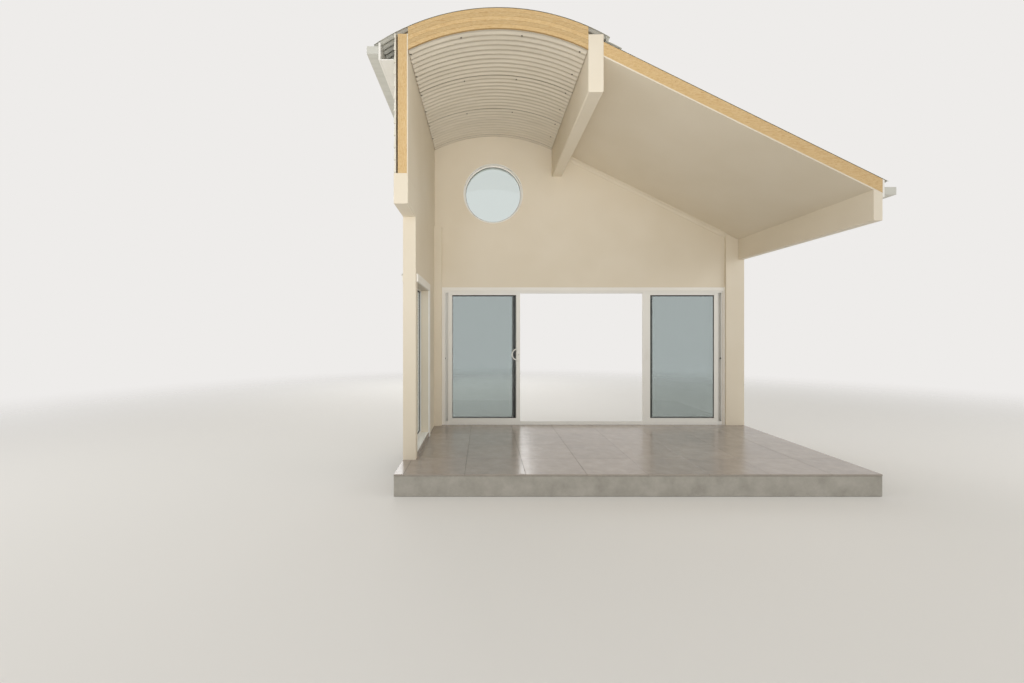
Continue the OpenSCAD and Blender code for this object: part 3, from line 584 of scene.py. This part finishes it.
tiles = bmesh.new()
joints = bmesh.new()
pitch = TILE + JOINT
columns, rows = tile_edges(TILE_START - pitch, BAY_W, pitch), tile_edges(0, CUT_Y, -pitch)
tile_tones = []
for r, (row_low, row_high) in enumerate(rows):
    y0, y1 = clipped(row_low, row_high, CUT_Y, 0)
    passage_y1 = min(y1, RETURN_Y)
    left_edge = CUT_X0 if passage_y1 > y0 + JOINT else 0
    for c, (column_low, column_high) in enumerate(columns):
        x0, x1 = clipped(column_low, column_high, left_edge, BAY_W)
        if x1 - x0 < JOINT:
            continue
        # an even scatter of tones that is the same each time
        tone = (math.sin(12.9898 * (c + 3) + 78.233 * (r + 5)) * 43758.5453) % 1
        if x0 < 0 and passage_y1 < y1:
            # this tile ends at the foot of the return wall, or is notched round it
            foot_y = passage_y1 - WALL_GAP
            outline = [(x0, y0), (x1, y0), (x1, foot_y), (x0, foot_y)]
            if x1 > 0:
                outline[2:3] = [(x1, y1), (WALL_GAP, y1), (WALL_GAP, foot_y)]
        else:
            outline = oblong(x0, x1, y0, y1)
        prism(tiles, outline, "z", -TILE_T, 0)
        tile_tones += [tone] * 2 * len(outline)
        if x1 < BAY_W - JOINT:
            block(joints, x1, x1 + JOINT, y0, y1 if x1 > 0 else passage_y1 - WALL_GAP, -TILE_T,
                  JOINT_TOP)
    if y0 > CUT_Y + JOINT:
        block(joints, 0 if y0 - JOINT > RETURN_Y else CUT_X0, BAY_W, y0 - JOINT, y0, -TILE_T,
              JOINT_TOP)
layer = tiles.verts.layers.float.new("tone")
for vert, tone in zip(tiles.verts, tile_tones):
    vert[layer] = tone
place(ease(from_bmesh("floor_tiles_laid", tiles), 1.0, segments=1), "tile",
      stands_for=("floor_tiles",))
place(from_bmesh("tile_grout", joints), "grout")
BED = [(CUT_X0, CUT_Y), (BAY_W, CUT_Y), (BAY_W, 0), (0, 0), (0, RETURN_Y), (CUT_X0, RETURN_Y)]
place(length("tile_mortar_bed", BED, "z", TILE_FOOT, -TILE_T), "mortar")

# Weatherboards lap over the outer walls
COVER, BOARD_ROWS = 120, 40
BOARD_BACK, BOARD_FOOT, BOARD_HEAD, GROOVE = 18, 39.6, 30, 9


def board_profile(face, outwards):
    """A bevel-backed board's section: (distance through the wall, height)."""
    foot, top = face + outwards * BOARD_FOOT, face + outwards * BOARD_HEAD
    back = face + outwards * BOARD_BACK
    rebate = top - outwards * 6
    return [(back, 1), (foot - outwards * 2, 0), (foot, 2), (foot, 5), (top, COVER - GROOVE),
            (rebate, COVER - GROOVE + 1), (rebate, COVER - 0.6), (back, COVER - 0.6)]


def clad(name, nodes_cut, finish_name, axis, start, end, face, outwards, foot):
    """Lapped boards along a wall, trimmed to the outline of the nodes they stand for."""
    profile = [(u, v + foot) for u, v in board_profile(face, outwards)]
    made = length(name, profile, axis, start, end)
    grow(made, STACK, Count=BOARD_ROWS, Step=(0, 0, COVER * MM),
         Material=FINISH[finish_name])
    outline = node_copy(nodes_cut[0], "outline")
    for other in nodes_cut[1:]:
        cut(outline, node_copy(other, "outline_part"), "UNION")
    cut(made, outline, "INTERSECT")
    return place(made, finish_name, stands_for=nodes_cut)


WALL_T = -span("return_cladding")[0].x
CORE_OUT = WALL_T - (span("gable_cladding_piers")[1].y - span("gable_cladding_piers")[0].y)
FOOT_Z = span("gable_cladding_piers")[0].z
STOP_W, SPARE = 45, 5
clad("gable_weatherboards", ("gable_cladding_over_doors", "gable_cladding_piers"),
     "gable_boards", "x", -WALL_T + STOP_W + 0.5, BAY_W + SPARE, CORE_OUT, 1, FOOT_Z)
clad("return_weatherboards", ("return_cladding",), "side_boards", "y", CUT_Y - SPARE,
     WALL_T - STOP_W - 0.5, -CORE_OUT, -1, FOOT_Z)

# Eased copies of sawn, cast and folded parts: the edge's radius and the nodes
EASED = (
    (2.5, "corner_post end_post free_post side_beam vault_beam eaves_beam"),
    (2.0, "side_window_architrave door_trim vault_fascia vault_soffit rake_fascia rake_soffit"),
    (0.8, "side_window_frame door_head door_sill door_jambs fixed_panel_frames"),
    (6.0, "floor_slab"),
    (1.0, "side_window_kerb"),
    (0.8, "left_slider_frame right_slider_frame"),
)
for radius, names in EASED:
    for name in names.split():
        body = name.removesuffix("_frame") if "slider" in name else "bay"
        place(ease(node_copy(name, name + "_eased"), radius), FINISH_OF[name], body, (name,))

# The side window's reveal boards are painted as the wall, and its sill is white
low, high = span("side_window_reveal")
SILL_T = 9
SILL_TOP = low.z + SILL_T
sill = bar("side_window_sill", low.x, high.x, low.y, high.y, low.z, SILL_TOP)
place(ease(sill, 0.8), "trim", stands_for=("side_window_reveal",))
boards = node_copy("side_window_reveal", "side_window_reveal_boards")
cut(boards, bar("over_sill", low.x - 1, high.x + 1, low.y - 1, high.y + 1, SILL_TOP, high.z + 1),
    "INTERSECT")
place(ease(boards, 1.5), "paint")

# The vault and the raked roof: a bare number here is one that no node's box gives
SPRING, RISE, ROOF_DEPTH = 4165, 210, 220
WAVE_DEPTH, SHEET_T, LAP_UP = 16, 2, 2.4
FLUTES, VERGE_FLUTES = 30, 8
BEAM_X0, BEAM_X1 = span("vault_beam")[0].x, span("vault_beam")[1].x
VAULT_CX = BEAM_X0 / 2
VAULT_R = (VAULT_CX ** 2 + RISE ** 2) / (2 * RISE)
VAULT_CZ = SPRING + RISE - VAULT_R
ROOF_R = VAULT_R + ROOF_DEPTH
VERGE_Y = span("vault_fascia")[1].y
PURLINS_X = (520, 1128)
PITCH = math.radians(26.2)
RAKE_TOP, RAKE_ROOF = SPRING - 53, 133
LIFTED = [(span(name)[0].y, span(name)[1].y) for name in ("vault_lining_2", "vault_lining_4")]
LOWER = [(span(name)[0].y, span(name)[1].y) for name in ("vault_lining_1", "vault_lining_3")]


def within(y, spans):
    return any(low <= y <= high for low, high in spans)


def rake_z(x):
    """Height of the raked ceiling's underside at x."""
    return RAKE_TOP - (x - BEAM_X1) * math.tan(PITCH)


def on_vault(x, y, radius):
    """A point at a radius from the vault's axis, and the direction away from that axis."""
    rise = math.sqrt(radius ** 2 - (x - VAULT_CX) ** 2)
    return (x, y, VAULT_CZ + rise), Vector(((x - VAULT_CX) / radius, 0, rise / radius))


# Screws: a hexagon head on a bonded rubber washer
def hexagon_screws(name, marks, head_finish, size=1.0):
    washer = bmesh.new()
    turned(washer, [(8.5, -0.4), (8.5, 1.2), (7.2, 2.4)], 12)
    head = bmesh.new()
    turned(head, [(6.4, 2.2), (6.4, 3.2), (4.8, 3.6), (4.8, 7.6), (3.9, 8.4)], 6)
    fixings(name + "_washers", washer, marks, "rubber", size)
    fixings(name + "_heads", head, marks, head_finish, size)


# In the lining every tenth flute is screwed to the purlins, and every fifth at the edges
EDGE_SCREWS_X = (18, 1705)
lining_marks = []
for x, step in [(x, 10) for x in PURLINS_X] + [(x, 5) for x in EDGE_SCREWS_X]:
    for k in range(step, FLUTES + 1, step):
        y = -k * FLUTE_PITCH
        up = LAP_UP if within(y, LIFTED) and not within(y, LOWER) else 0
        point, out = on_vault(x, y, VAULT_R + up)
        lining_marks.append((point, -out))
hexagon_screws("vault_lining_screws", lining_marks, "aged_steel")

# On the roof every second crest is screwed, in rows over the walls and the purlins
VAULT_ROWS_X = (-WALL_T - 140, 22) + PURLINS_X + (1755,)
RAKE_ROWS = (200, 900, 1660, 2420, 3040)
ridge_x = BEAM_X1 + 8
ridge_z = rake_z(ridge_x) + RAKE_ROOF / math.cos(PITCH)
roof_marks = []
for k in range(-FLUTES, VERGE_FLUTES + 1, 2):
    y = (k + 0.5) * FLUTE_PITCH
    top = WAVE_DEPTH + SHEET_T + (LAP_UP if within(y, LIFTED) else 0)
    for x in VAULT_ROWS_X:
        roof_marks.append(on_vault(x, y, ROOF_R + top))
    lift = top + 0.5
    for s in RAKE_ROWS:
        point = (ridge_x + s * math.cos(PITCH) + lift * math.sin(PITCH), y,
                 ridge_z - s * math.sin(PITCH) + lift * math.cos(PITCH))
        roof_marks.append((point, (math.sin(PITCH), 0, math.cos(PITCH))))
hexagon_screws("roof_screws", roof_marks, "roof_sheet", 1.15)


# Glazing: black gaskets hold each pane on both faces
def ring(mesh, axis, low, high, widths, start, end):
    """A mitred frame, whose widths run inwards from the left, right, bottom and top edges."""
    (u0, v0), (u1, v1) = low, high
    left, right, bottom, top = widths
    outer = oblong(u0, u1, v0, v1)
    inner = oblong(u0 + left, u1 - right, v0 + bottom, v1 - top)
    skin(mesh, [[along(axis, u, v, w) for u, v in loop] for loop, w in
                ((outer, start), (inner, start), (inner, end), (outer, end))], close=True)


DOOR_X0, DOOR_X1 = span("door_jambs")[0].x, span("door_jambs")[1].x
DOOR_CX = (DOOR_X0 + DOOR_X1) / 2
POCKET = 11.7   # how deep a pane's edges stand in its frame
GASKET_W, GASKET_TOP, GASKET_T = 5, 13, 4


def gaskets(name, axis, low, high, faces, body="bay"):
    """A gasket on each face of a pane whose edges stand in pockets."""
    mesh = bmesh.new()
    low, high = [v + POCKET for v in low], [v - POCKET for v in high]
    for face, out in faces:
        ring(mesh, axis, low, high, (GASKET_W, GASKET_W, GASKET_W, GASKET_TOP), face,
             face + out * GASKET_T)
    place(from_bmesh(name, mesh), "rubber", body)


for side in ("left", "right"):
    low, high = span(side + "_slider_glass")
    gaskets(side + "_slider_gaskets", "y", (low.x, low.z), (high.x, high.z),
            ((low.y, -1), (high.y, 1)), side + "_slider")
low, high = span("fixed_panel_glass")
glass_x = [(v.co - CORNER).x / MM for v in NODES["fixed_panel_glass"].data.vertices]
pane_x1 = max(x for x in glass_x if x < DOOR_CX)
for side, x0, x1 in (("left", low.x, pane_x1), ("right", 2 * DOOR_CX - pane_x1, high.x)):
    gaskets("fixed_" + side + "_gaskets", "y", (x0, low.z), (x1, high.z),
            ((low.y, -1), (high.y, 1)))
low, high = span("side_window_glass")
gaskets("side_window_gaskets", "x", (low.y, low.z), (high.y, high.z), ((low.x, -1), (high.x, 1)))


def smooth(made):
    """Shades a turned piece smooth, with its sharp edges kept."""
    made.data.shade_smooth()
    made.data.set_sharp_from_angle(angle=SHARP)
    return made


low, high = span("porthole_glass")
PORTHOLE = (VAULT_CX, (low.z + high.z) / 2)
PANE_R = (high.z - low.z) / 2
for side, face, out in (("room", low.y, -1), ("outside", high.y, 1)):
    mesh = bmesh.new()
    section = [(POCKET, 0), (POCKET, 5), (14, 5), (16, 1.5), (16, 0)]
    skin(mesh, [[(PORTHOLE[0] + x, face + out * y, PORTHOLE[1] + z)
                 for x, z in circle(PANE_R - inset, 96)] for inset, y in section], close=True)
    smooth(place(from_bmesh("porthole_gasket_" + side, mesh), "rubber"))

# Woolpile strips on the fixed panels' interlocking stiles, wide and dark: partly real pile, partly
# painted shade of the interlock seen through the glass
STILE_W = 52
STILE_X1 = pane_x1 - POCKET + STILE_W
STILE_Y = span("fixed_panel_frames")[0].y + 10
PILE_IN, PILE_OUT, PILE_T, PILE_FOOT, PILE_TOP = 39, 5, 6, 26, 1996
for side, flip in (("left", 1), ("right", -1)):
    x0, x1 = sorted(DOOR_CX + flip * (STILE_X1 - back - DOOR_CX) for back in (PILE_IN, PILE_OUT))
    pile = bar(side + "_interlock_pile", x0, x1, STILE_Y - PILE_T, STILE_Y, PILE_FOOT, PILE_TOP)
    place(ease(pile, 1.5), "woolpile")


# Outside trims of the openings and the corner
def moulding(name, outline, axis, start, end, finish_name="trim", radius=1.5):
    """A length of one section, with eased edges."""
    return place(ease(length(name, outline, axis, start, end), radius), finish_name)


WALL_Y = span("gable_cladding_piers")[1].y
FRAME_Y = span("door_jambs")[1].y
HEAD_Z = span("door_head")[1].z
FIT = 0.3   # the gap between a trim and what it covers
SOFFIT_FOOT, STOP_TOP = 4079, 4336
END_STOP_T, END_STOP_LAP = 14, 35
corner = bmesh.new()
stop_face, core, lap = WALL_T + 6, CORE_OUT + FIT, WALL_T - STOP_W
for face, foot, top in ((stop_face, FOOT_Z, SOFFIT_FOOT), (WALL_T, SOFFIT_FOOT, STOP_TOP)):
    prism(corner, [(-face, face), (-lap, face), (-lap, core), (-core, core), (-core, lap),
                   (-face, lap)], "z", foot, top)
place(ease(from_bmesh("corner_stop", corner), 1.5), "trim")
x0, x1, x2 = BAY_W - END_STOP_LAP, BAY_W + FIT, BAY_W + END_STOP_T
moulding("end_stop", [(x1, -FIT), (x2, -FIT), (x2, stop_face), (x0, stop_face),
                      (x0, WALL_Y + FIT), (x1, WALL_Y + FIT)], "z", FOOT_Z,
         span("eaves_beam")[0].z - 0.5)


def cover_trim(frame_face, wall_face, out, edge, way, width):
    """Section of a trim from a frame's outer edge over the boards: (out of the wall, along)."""
    deep, face, back = frame_face + out * FIT, wall_face + out * 18, wall_face + out * 0.2
    lap, far, fit = edge - way * 10, edge + way * width, edge + way * FIT
    return [(deep, lap), (face, lap), (face, far), (back, far), (back, fit), (deep, fit)]


def head_flashing(wall_face, out, top):
    """Section of the folded flashing over a head trim: (out of the wall, height)."""
    return [(wall_face + out * depth, top + z) for depth, z in
            ((0.2, 3), (22, 1), (22, -13), (23.2, -13), (23.2, 2.2), (0.2, 21))]


TRIM_W, DOOR_HEAD_TRIM_W, FLASHING_PAST = 65, 75, 5
for side, edge, way in (("left", DOOR_X0, -1), ("right", DOOR_X1, 1)):
    section = cover_trim(FRAME_Y, WALL_Y, 1, edge, way, TRIM_W)
    moulding("door_trim_outside_" + side, [(x, y) for y, x in section], "z", FOOT_Z, HEAD_Z - 10)
x0, x1 = DOOR_X0 - TRIM_W, DOOR_X1 + TRIM_W
moulding("door_trim_outside_head", cover_trim(FRAME_Y, WALL_Y, 1, HEAD_Z, 1, DOOR_HEAD_TRIM_W),
         "x", x0, x1)
moulding("door_head_flashing", head_flashing(WALL_Y, 1, HEAD_Z + DOOR_HEAD_TRIM_W), "x",
         x0 - FLASHING_PAST, x1 + FLASHING_PAST, "roof_sheet", 0.4)
moulding("door_sill_nosing",
         [(FRAME_Y + FIT, FOOT_Z + 0.2), (WALL_Y + 16, FOOT_Z + 0.2), (WALL_Y + 16, FOOT_Z + 9),
          (FRAME_Y + FIT, 2)], "x", DOOR_X0 + 10, DOOR_X1 - 10, "powder", 1.0)
(fx0, wy0, wz0), (_, wy1, wz1) = span("side_window_frame")
moulding("side_trim_outside", cover_trim(fx0, -WALL_T, -1, wy1, 1, TRIM_W), "z", wz0 + 8,
         wz1 - 10)
y0, y1 = wy0 - 60, wy1 + TRIM_W
moulding("side_trim_outside_head", cover_trim(fx0, -WALL_T, -1, wz1, 1, TRIM_W), "y", y0, y1)
moulding("side_head_flashing", head_flashing(-WALL_T, -1, wz1 + TRIM_W), "y", y0 - 4,
         y1 + FLASHING_PAST, "roof_sheet", 0.4)
moulding("side_sill_flashing",
         [(fx0 - FIT, wz0 + FIT), (fx0 - FIT, wz0 + 9), (-WALL_T - 26, wz0 - 3),
          (-WALL_T - 26, wz0 - 16), (-WALL_T - 24.5, wz0 - 16), (-WALL_T - 24.5, wz0 - 6)],
         "y", wy0 + 0.5, wy1 - 0.5, "powder", 0.5)


# Curved pieces about the vault's axis
def arc(radius, x0, x1, steps=48):
    """Points along the vault's circle at a radius, from x0 to x1, in x and z."""
    a0, a1 = (math.asin((x - VAULT_CX) / radius) for x in (x0, x1))
    angles = [a0 + (a1 - a0) * i / steps for i in range(steps + 1)]
    return [(VAULT_CX + radius * math.sin(a), VAULT_CZ + radius * math.cos(a)) for a in angles]


def closed_run(mesh, rows):
    """A section run along rows of points, one row to each of its corners, with both ends filled."""
    rows = skin(mesh, rows, wrap=False, close=True)
    for end in (0, -1):
        mesh.faces.new([row[end] for row in rows])
    return rows


def arc_run(mesh, section, x0, x1):
    """A section of (radius, y) points run round the vault's axis, with plumb ends."""
    return closed_run(mesh, [[(x, y, z) for x, z in arc(radius, x0, x1)] for radius, y in section])


# The barge boards and their folded cappings
BARGE_T, CAP_OUT, CAP_T, CAP_LIP, CAP_BACK = 18, 19.8, 1.4, 28, 14
OVER_SHEETS = WAVE_DEPTH + 15


def vault_run(mesh, section):
    """A section of (radius, y) points run round the vault's roof."""
    arc_run(mesh, section, -WALL_T - 150, BEAM_X1)


def rake_run(mesh, section):
    """A section of (depth square to the roof, y) points run down the rake, with plumb ends."""
    closed_run(mesh, [[(x, y, rake_z(x) + depth / math.cos(PITCH))
                       for x in (BEAM_X1, BAY_W + 20)] for depth, y in section])


for roof, follow, foot, top in (("vault", vault_run, VAULT_R - 20, ROOF_R + OVER_SHEETS),
                                ("rake", rake_run, -20, RAKE_ROOF + OVER_SHEETS)):
    mesh = bmesh.new()
    follow(mesh, oblong(foot, top - 2, VERGE_Y, VERGE_Y + BARGE_T))
    place(ease(from_bmesh(roof + "_barge_board", mesh), 1.5), "trim",
          stands_for=(roof + "_barge",))
    mesh = bmesh.new()
    cap_top, cap_foot, lip_foot = top - 0.2, top - 0.2 - CAP_T, top - CAP_LIP
    back, lip, front = VERGE_Y - CAP_BACK, VERGE_Y + BARGE_T + 0.4, VERGE_Y + CAP_OUT
    follow(mesh, [(cap_foot, back), (cap_top, back), (cap_top, front), (lip_foot, front),
                  (lip_foot, lip), (cap_foot, lip)])
    smooth(place(from_bmesh(roof + "_barge_capping", mesh), "roof_sheet"))

# A board closes the end of the eave's box behind the barge board
FASCIA_T, SOFFIT_T, END_BOARD_H = 20, 9, 80
eave_x0 = span("vault_fascia")[0].x + FASCIA_T + FIT
box_foot = span("vault_soffit")[0].z + SOFFIT_T + FIT
made = bar("eave_box_end", eave_x0, -20.3, VERGE_Y - 18, VERGE_Y - 1, box_foot,
           box_foot + END_BOARD_H)
place(ease(made, 1.0, 1), "trim")

# The rib at the cut is laminated: five boards bent to the vault, with fine glue lines
RIB_LOW, RIB_HIGH, RIB_T = VAULT_R + 20.7, ROOF_R - 0.5, 45
BOARD_TONES, GLUE_TONE = (0.2, 0.9, 0.0, 0.7, 0.35), 3.5
GLUE_LINE, GLUE_BACK = 2, 1.2
step = (RIB_HIGH - RIB_LOW) / len(BOARD_TONES)
bands = [(tone, RIB_LOW + i * step + GLUE_LINE / 2, RIB_LOW + (i + 1) * step - GLUE_LINE / 2,
          0.3, 0) for i, tone in enumerate(BOARD_TONES)]
bands.append((GLUE_TONE, RIB_LOW + GLUE_LINE, RIB_HIGH - GLUE_LINE, 1.3, GLUE_BACK))
mesh = bmesh.new()
layer = mesh.verts.layers.float.new("tone")
for tone, r0, r1, gap, back in bands:
    section = oblong(r0, r1, CUT_Y + back, CUT_Y + RIB_T - back)
    for row in arc_run(mesh, section, gap, BEAM_X0 - gap):
        for vert in row:
            vert[layer] = tone
place(from_bmesh("laminated_end_rib", mesh), "pine_x", stands_for=("vault_end_rib",))

# Sealant in the laps of the vault's sheets, seen from the room as a dark line: partly real sealant,
# partly a painted shadow line of the laps
mesh = bmesh.new()
SEALANT_W = 6
for edge, way in ((LOWER[0][1], 1), (LOWER[1][0], -1), (LOWER[1][1], 1)):
    dip = WAVE_DEPTH / 2 * (1 - math.cos(2 * math.pi * edge / FLUTE_PITCH))
    y0, y1 = sorted((edge, edge + way * SEALANT_W))
    arc_run(mesh, oblong(VAULT_R + dip - 0.6, VAULT_R + LAP_UP + dip + 0.8, y0, y1), 1,
            BEAM_X0 - 1)
place(from_bmesh("vault_lap_sealant", mesh), "sealant")

# The return wall's framing shows where the wall is cut
PLATE, STUD_CENTRES = 45, 450
(cx0, cy0, cz0), (cx1, cy1, cz1) = span("return_core")
cx0, cx1, cy1 = cx0 + 0.2, cx1 - 0.2, cy1 - 0.3
BEAM_TOP = span("side_beam")[1].z
WINDOW_Y0, WINDOW_Y1, LINTEL_FOOT = span("free_post")[1].y, wy1, wz1 + 3
STUDS_TOP = cz1 - 2 * PLATE
plates = bmesh.new()
for y0, y1, z0 in ((cy0, WINDOW_Y0, BEAM_TOP), (WINDOW_Y1, cy1, cz0), (cy0, cy1, cz1 - PLATE),
                   (cy0, cy1, STUDS_TOP), (WINDOW_Y0, WINDOW_Y1, LINTEL_FOOT),
                   (WINDOW_Y0, WINDOW_Y1, LINTEL_FOOT + PLATE)):
    block(plates, cx0, cx1, y0, y1, z0 + 0.2, z0 + PLATE - 0.2)
place(ease(from_bmesh("return_plates", plates), 1.0, 1), "pine_y", stands_for=("return_core",))
for name, y0, z0 in (("return_studs_over_passage", cy0, BEAM_TOP + PLATE),
                     ("return_studs_over_window", WINDOW_Y0, LINTEL_FOOT + 2 * PLATE),
                     ("return_studs_by_corner", WINDOW_Y1, cz0 + PLATE)):
    made = ease(bar(name, cx0, cx1, y0, y0 + PLATE, z0, STUDS_TOP), 1.0, 1)
    grow(made, STACK, Count=2, Step=(0, STUD_CENTRES * MM, 0), Material=FINISH["pine_z"])
    place(made, "pine_z")

# Straps across the gutters, and the downpipe on the return wall
STRAPS, STRAP_STEP, STRAP_W, STRAP_T = 5, 730, 24, 2
for name in ("vault_gutter", "rake_gutter"):
    low, high = span(name)
    strap_y, strap_z = CUT_Y + 60, high.z - 1.2
    made = bar(name + "_straps", low.x + 3, high.x - 3, strap_y, strap_y + STRAP_W,
               strap_z - STRAP_T, strap_z)
    ease(made, 0.5, 1)
    grow(made, STACK, Count=STRAPS, Step=(0, STRAP_STEP * MM, 0), Material=FINISH["roof_sheet"])
    place(made, "roof_sheet")


def pipe(mesh, path, radius, sides=20):
    """A tube along a path that stays in one upright plane across the bay."""
    points = [Vector(point) for point in path]
    level = Vector((0, 1, 0))
    rows = []
    for before, point, after in zip(points[:1] + points, points, points[1:] + points[-1:]):
        across = (after - before).normalized().cross(level)
        rows.append([point + u * across + v * level for u, v in circle(radius, sides)])
    skin(mesh, rows, caps=True)


low, high = span("vault_gutter")
PIPE_Y, PIPE_R, PIPE_X = -250, 45, -WALL_T - 62
SOCKET_T, SOCKET_L, CLIP_H, CLIPS_Z = 2.5, 42, 28, (3600, 2300, 1000, 200)
outlet = (low.x + high.x) / 2
# A swan neck under the outlet brings the pipe back to the wall, and a shoe ends it
NECK = [(outlet, low.z + 1), (outlet, low.z - 70), (outlet + 8, low.z - 95),
        (outlet + 30, low.z - 125), (PIPE_X - 30, low.z - 290), (PIPE_X - 8, low.z - 322),
        (PIPE_X, low.z - 350)]
SHOE = [(PIPE_X, -90), (PIPE_X - 6, -118), (PIPE_X - 24, -142), (PIPE_X - 70, -172)]
mesh = bmesh.new()
pipe(mesh, [(x, PIPE_Y, z) for x, z in NECK + SHOE], PIPE_R)
for x, z in ((outlet, low.z - 40), (PIPE_X, low.z - 352), (PIPE_X, 1900)):
    pipe(mesh, [(x, PIPE_Y, z), (x, PIPE_Y, z - SOCKET_L)], PIPE_R + SOCKET_T)
smooth(place(from_bmesh("downpipe", mesh), "roof_sheet"))
mesh = bmesh.new()
CLIP_R = PIPE_R + SOCKET_T
for z in CLIPS_Z:
    block(mesh, PIPE_X - CLIP_R, -WALL_T - 0.2, PIPE_Y - CLIP_R, PIPE_Y + CLIP_R, z, z + CLIP_H)
place(ease(from_bmesh("downpipe_clips", mesh), 1.0), "roof_sheet")

# The key cylinder over the left door's handle plate
low, high = span("left_slider_handle")
stile = span("left_slider_frame")
KEY_X, KEY_Y, KEY_Z = stile[1].x - 19, stile[0].y - 16, (low.z + high.z) / 2
mesh = bmesh.new()
turned(mesh, [(7.4, KEY_Y), (7.4, KEY_Y - 0.8), (6.9, KEY_Y - 1.2)], 32, (KEY_X, KEY_Z), "y")
smooth(place(from_bmesh("key_cylinder", mesh), "steel", "left_slider"))
place(bar("key_slot", KEY_X - 0.9, KEY_X + 0.9, KEY_Y - 1.6, KEY_Y - 1.1, KEY_Z - 4, KEY_Z + 4),
      "rubber", "left_slider")

# The studio's floor, backdrop and lamps
REACH, FLOOR_Z, FADE_FROM, FADE_TO = 60, -0.001, 5.5, 15.0
floor_mesh = bpy.data.meshes.new("studio_floor")
floor_mesh.from_pydata([(x * REACH, y * REACH, FLOOR_Z) for x, y in
                        ((-1, -1), (1, -1), (1, 1), (-1, 1))], [], [(0, 1, 2, 3)])
studio_floor = link("studio_floor", floor_mesh)
floor_finish, floor_tree, floor_shader, floor_spot = finish("studio_floor_paint", "#e9e7e3", 0.9)
# past the lamps' reach the floor thins out, so that it runs into the backdrop without an edge
away = node(floor_tree, VECTOR_MATHS, {0: floor_spot}, operation="LENGTH")
thin = node(floor_tree, MAP_RANGE, {"Value": away.outputs["Value"], "From Min": FADE_FROM,
                                    "From Max": FADE_TO}, interpolation_type="SMOOTHSTEP")
clear_floor = node(floor_tree, "ShaderNodeBsdfTransparent")
mixed_floor = node(floor_tree, MIX_SHADER, {0: thin, 1: floor_shader, 2: clear_floor})
feed(floor_tree, floor_tree.nodes["Material Output"], {"Surface": mixed_floor})
floor_mesh.materials.append(floor_finish)

world = bpy.data.worlds.new("studio")
bpy.context.scene.world = world
world.use_nodes = True
sky = world.node_tree
sky.nodes.clear()
seen = node(sky, "ShaderNodeLightPath")
straight = node(sky, MATHS, {0: seen.outputs["Is Camera Ray"], 1: seen.outputs["Is Glossy Ray"]},
                operation="MAXIMUM")
through = node(sky, MATHS, {0: straight, 1: seen.outputs["Is Transmission Ray"]},
               operation="MAXIMUM")
lamp_light = node(sky, "ShaderNodeBackground", {"Color": linear("#fffdf9"), "Strength": 0.6})
backdrop = node(sky, "ShaderNodeBackground", {"Color": linear("#eeecea"), "Strength": 1.0})
mixed_sky = node(sky, MIX_SHADER, {0: through, 1: lamp_light, 2: backdrop})
node(sky, "ShaderNodeOutputWorld", {"Surface": mixed_sky})

SPREAD = {"vault_softbox": math.radians(55)}
# These would stand as bright squares in the door glass
NOT_MIRRORED = ("room_softbox", "vault_softbox")
# Each lamp's place and target in metres, its size and its watts
LAMPS = {
    "room_softbox": ((0.5, -9.5, 2.6), (0.2, 0.5, 2.6), (6, 2.6), 102),
    "outside_softbox": ((-3.0, 10.0, 5.5), (0, 0, 2.2), (7, 5), 280),
    "vault_softbox": ((-1.5, -7.8, 0.9), (-1.3, 1.2, 4.6), (2.6, 1.3), 20),
    "right_softbox": ((9.5, -2.5, 4.5), (0, 0, 2.0), (5, 4), 160),
    "left_softbox": ((-9.0, -3.0, 5.0), (0, 0, 2.2), (5, 4), 140),
}
for name, (stand, target, size, watts) in LAMPS.items():
    data = bpy.data.lights.new(name, "AREA")
    data.shape = "RECTANGLE"
    data.size, data.size_y = size
    data.energy = watts
    data.spread = SPREAD.get(name, math.pi)
    lamp = link(name, data)
    lamp.visible_transmission = False
    lamp.visible_glossy = name not in NOT_MIRRORED
    lamp.location = stand
    lamp.rotation_euler = (Vector(target) - Vector(stand)).to_track_quat("-Z", "Y").to_euler()

bpy.context.scene.view_settings.view_transform = "Standard"
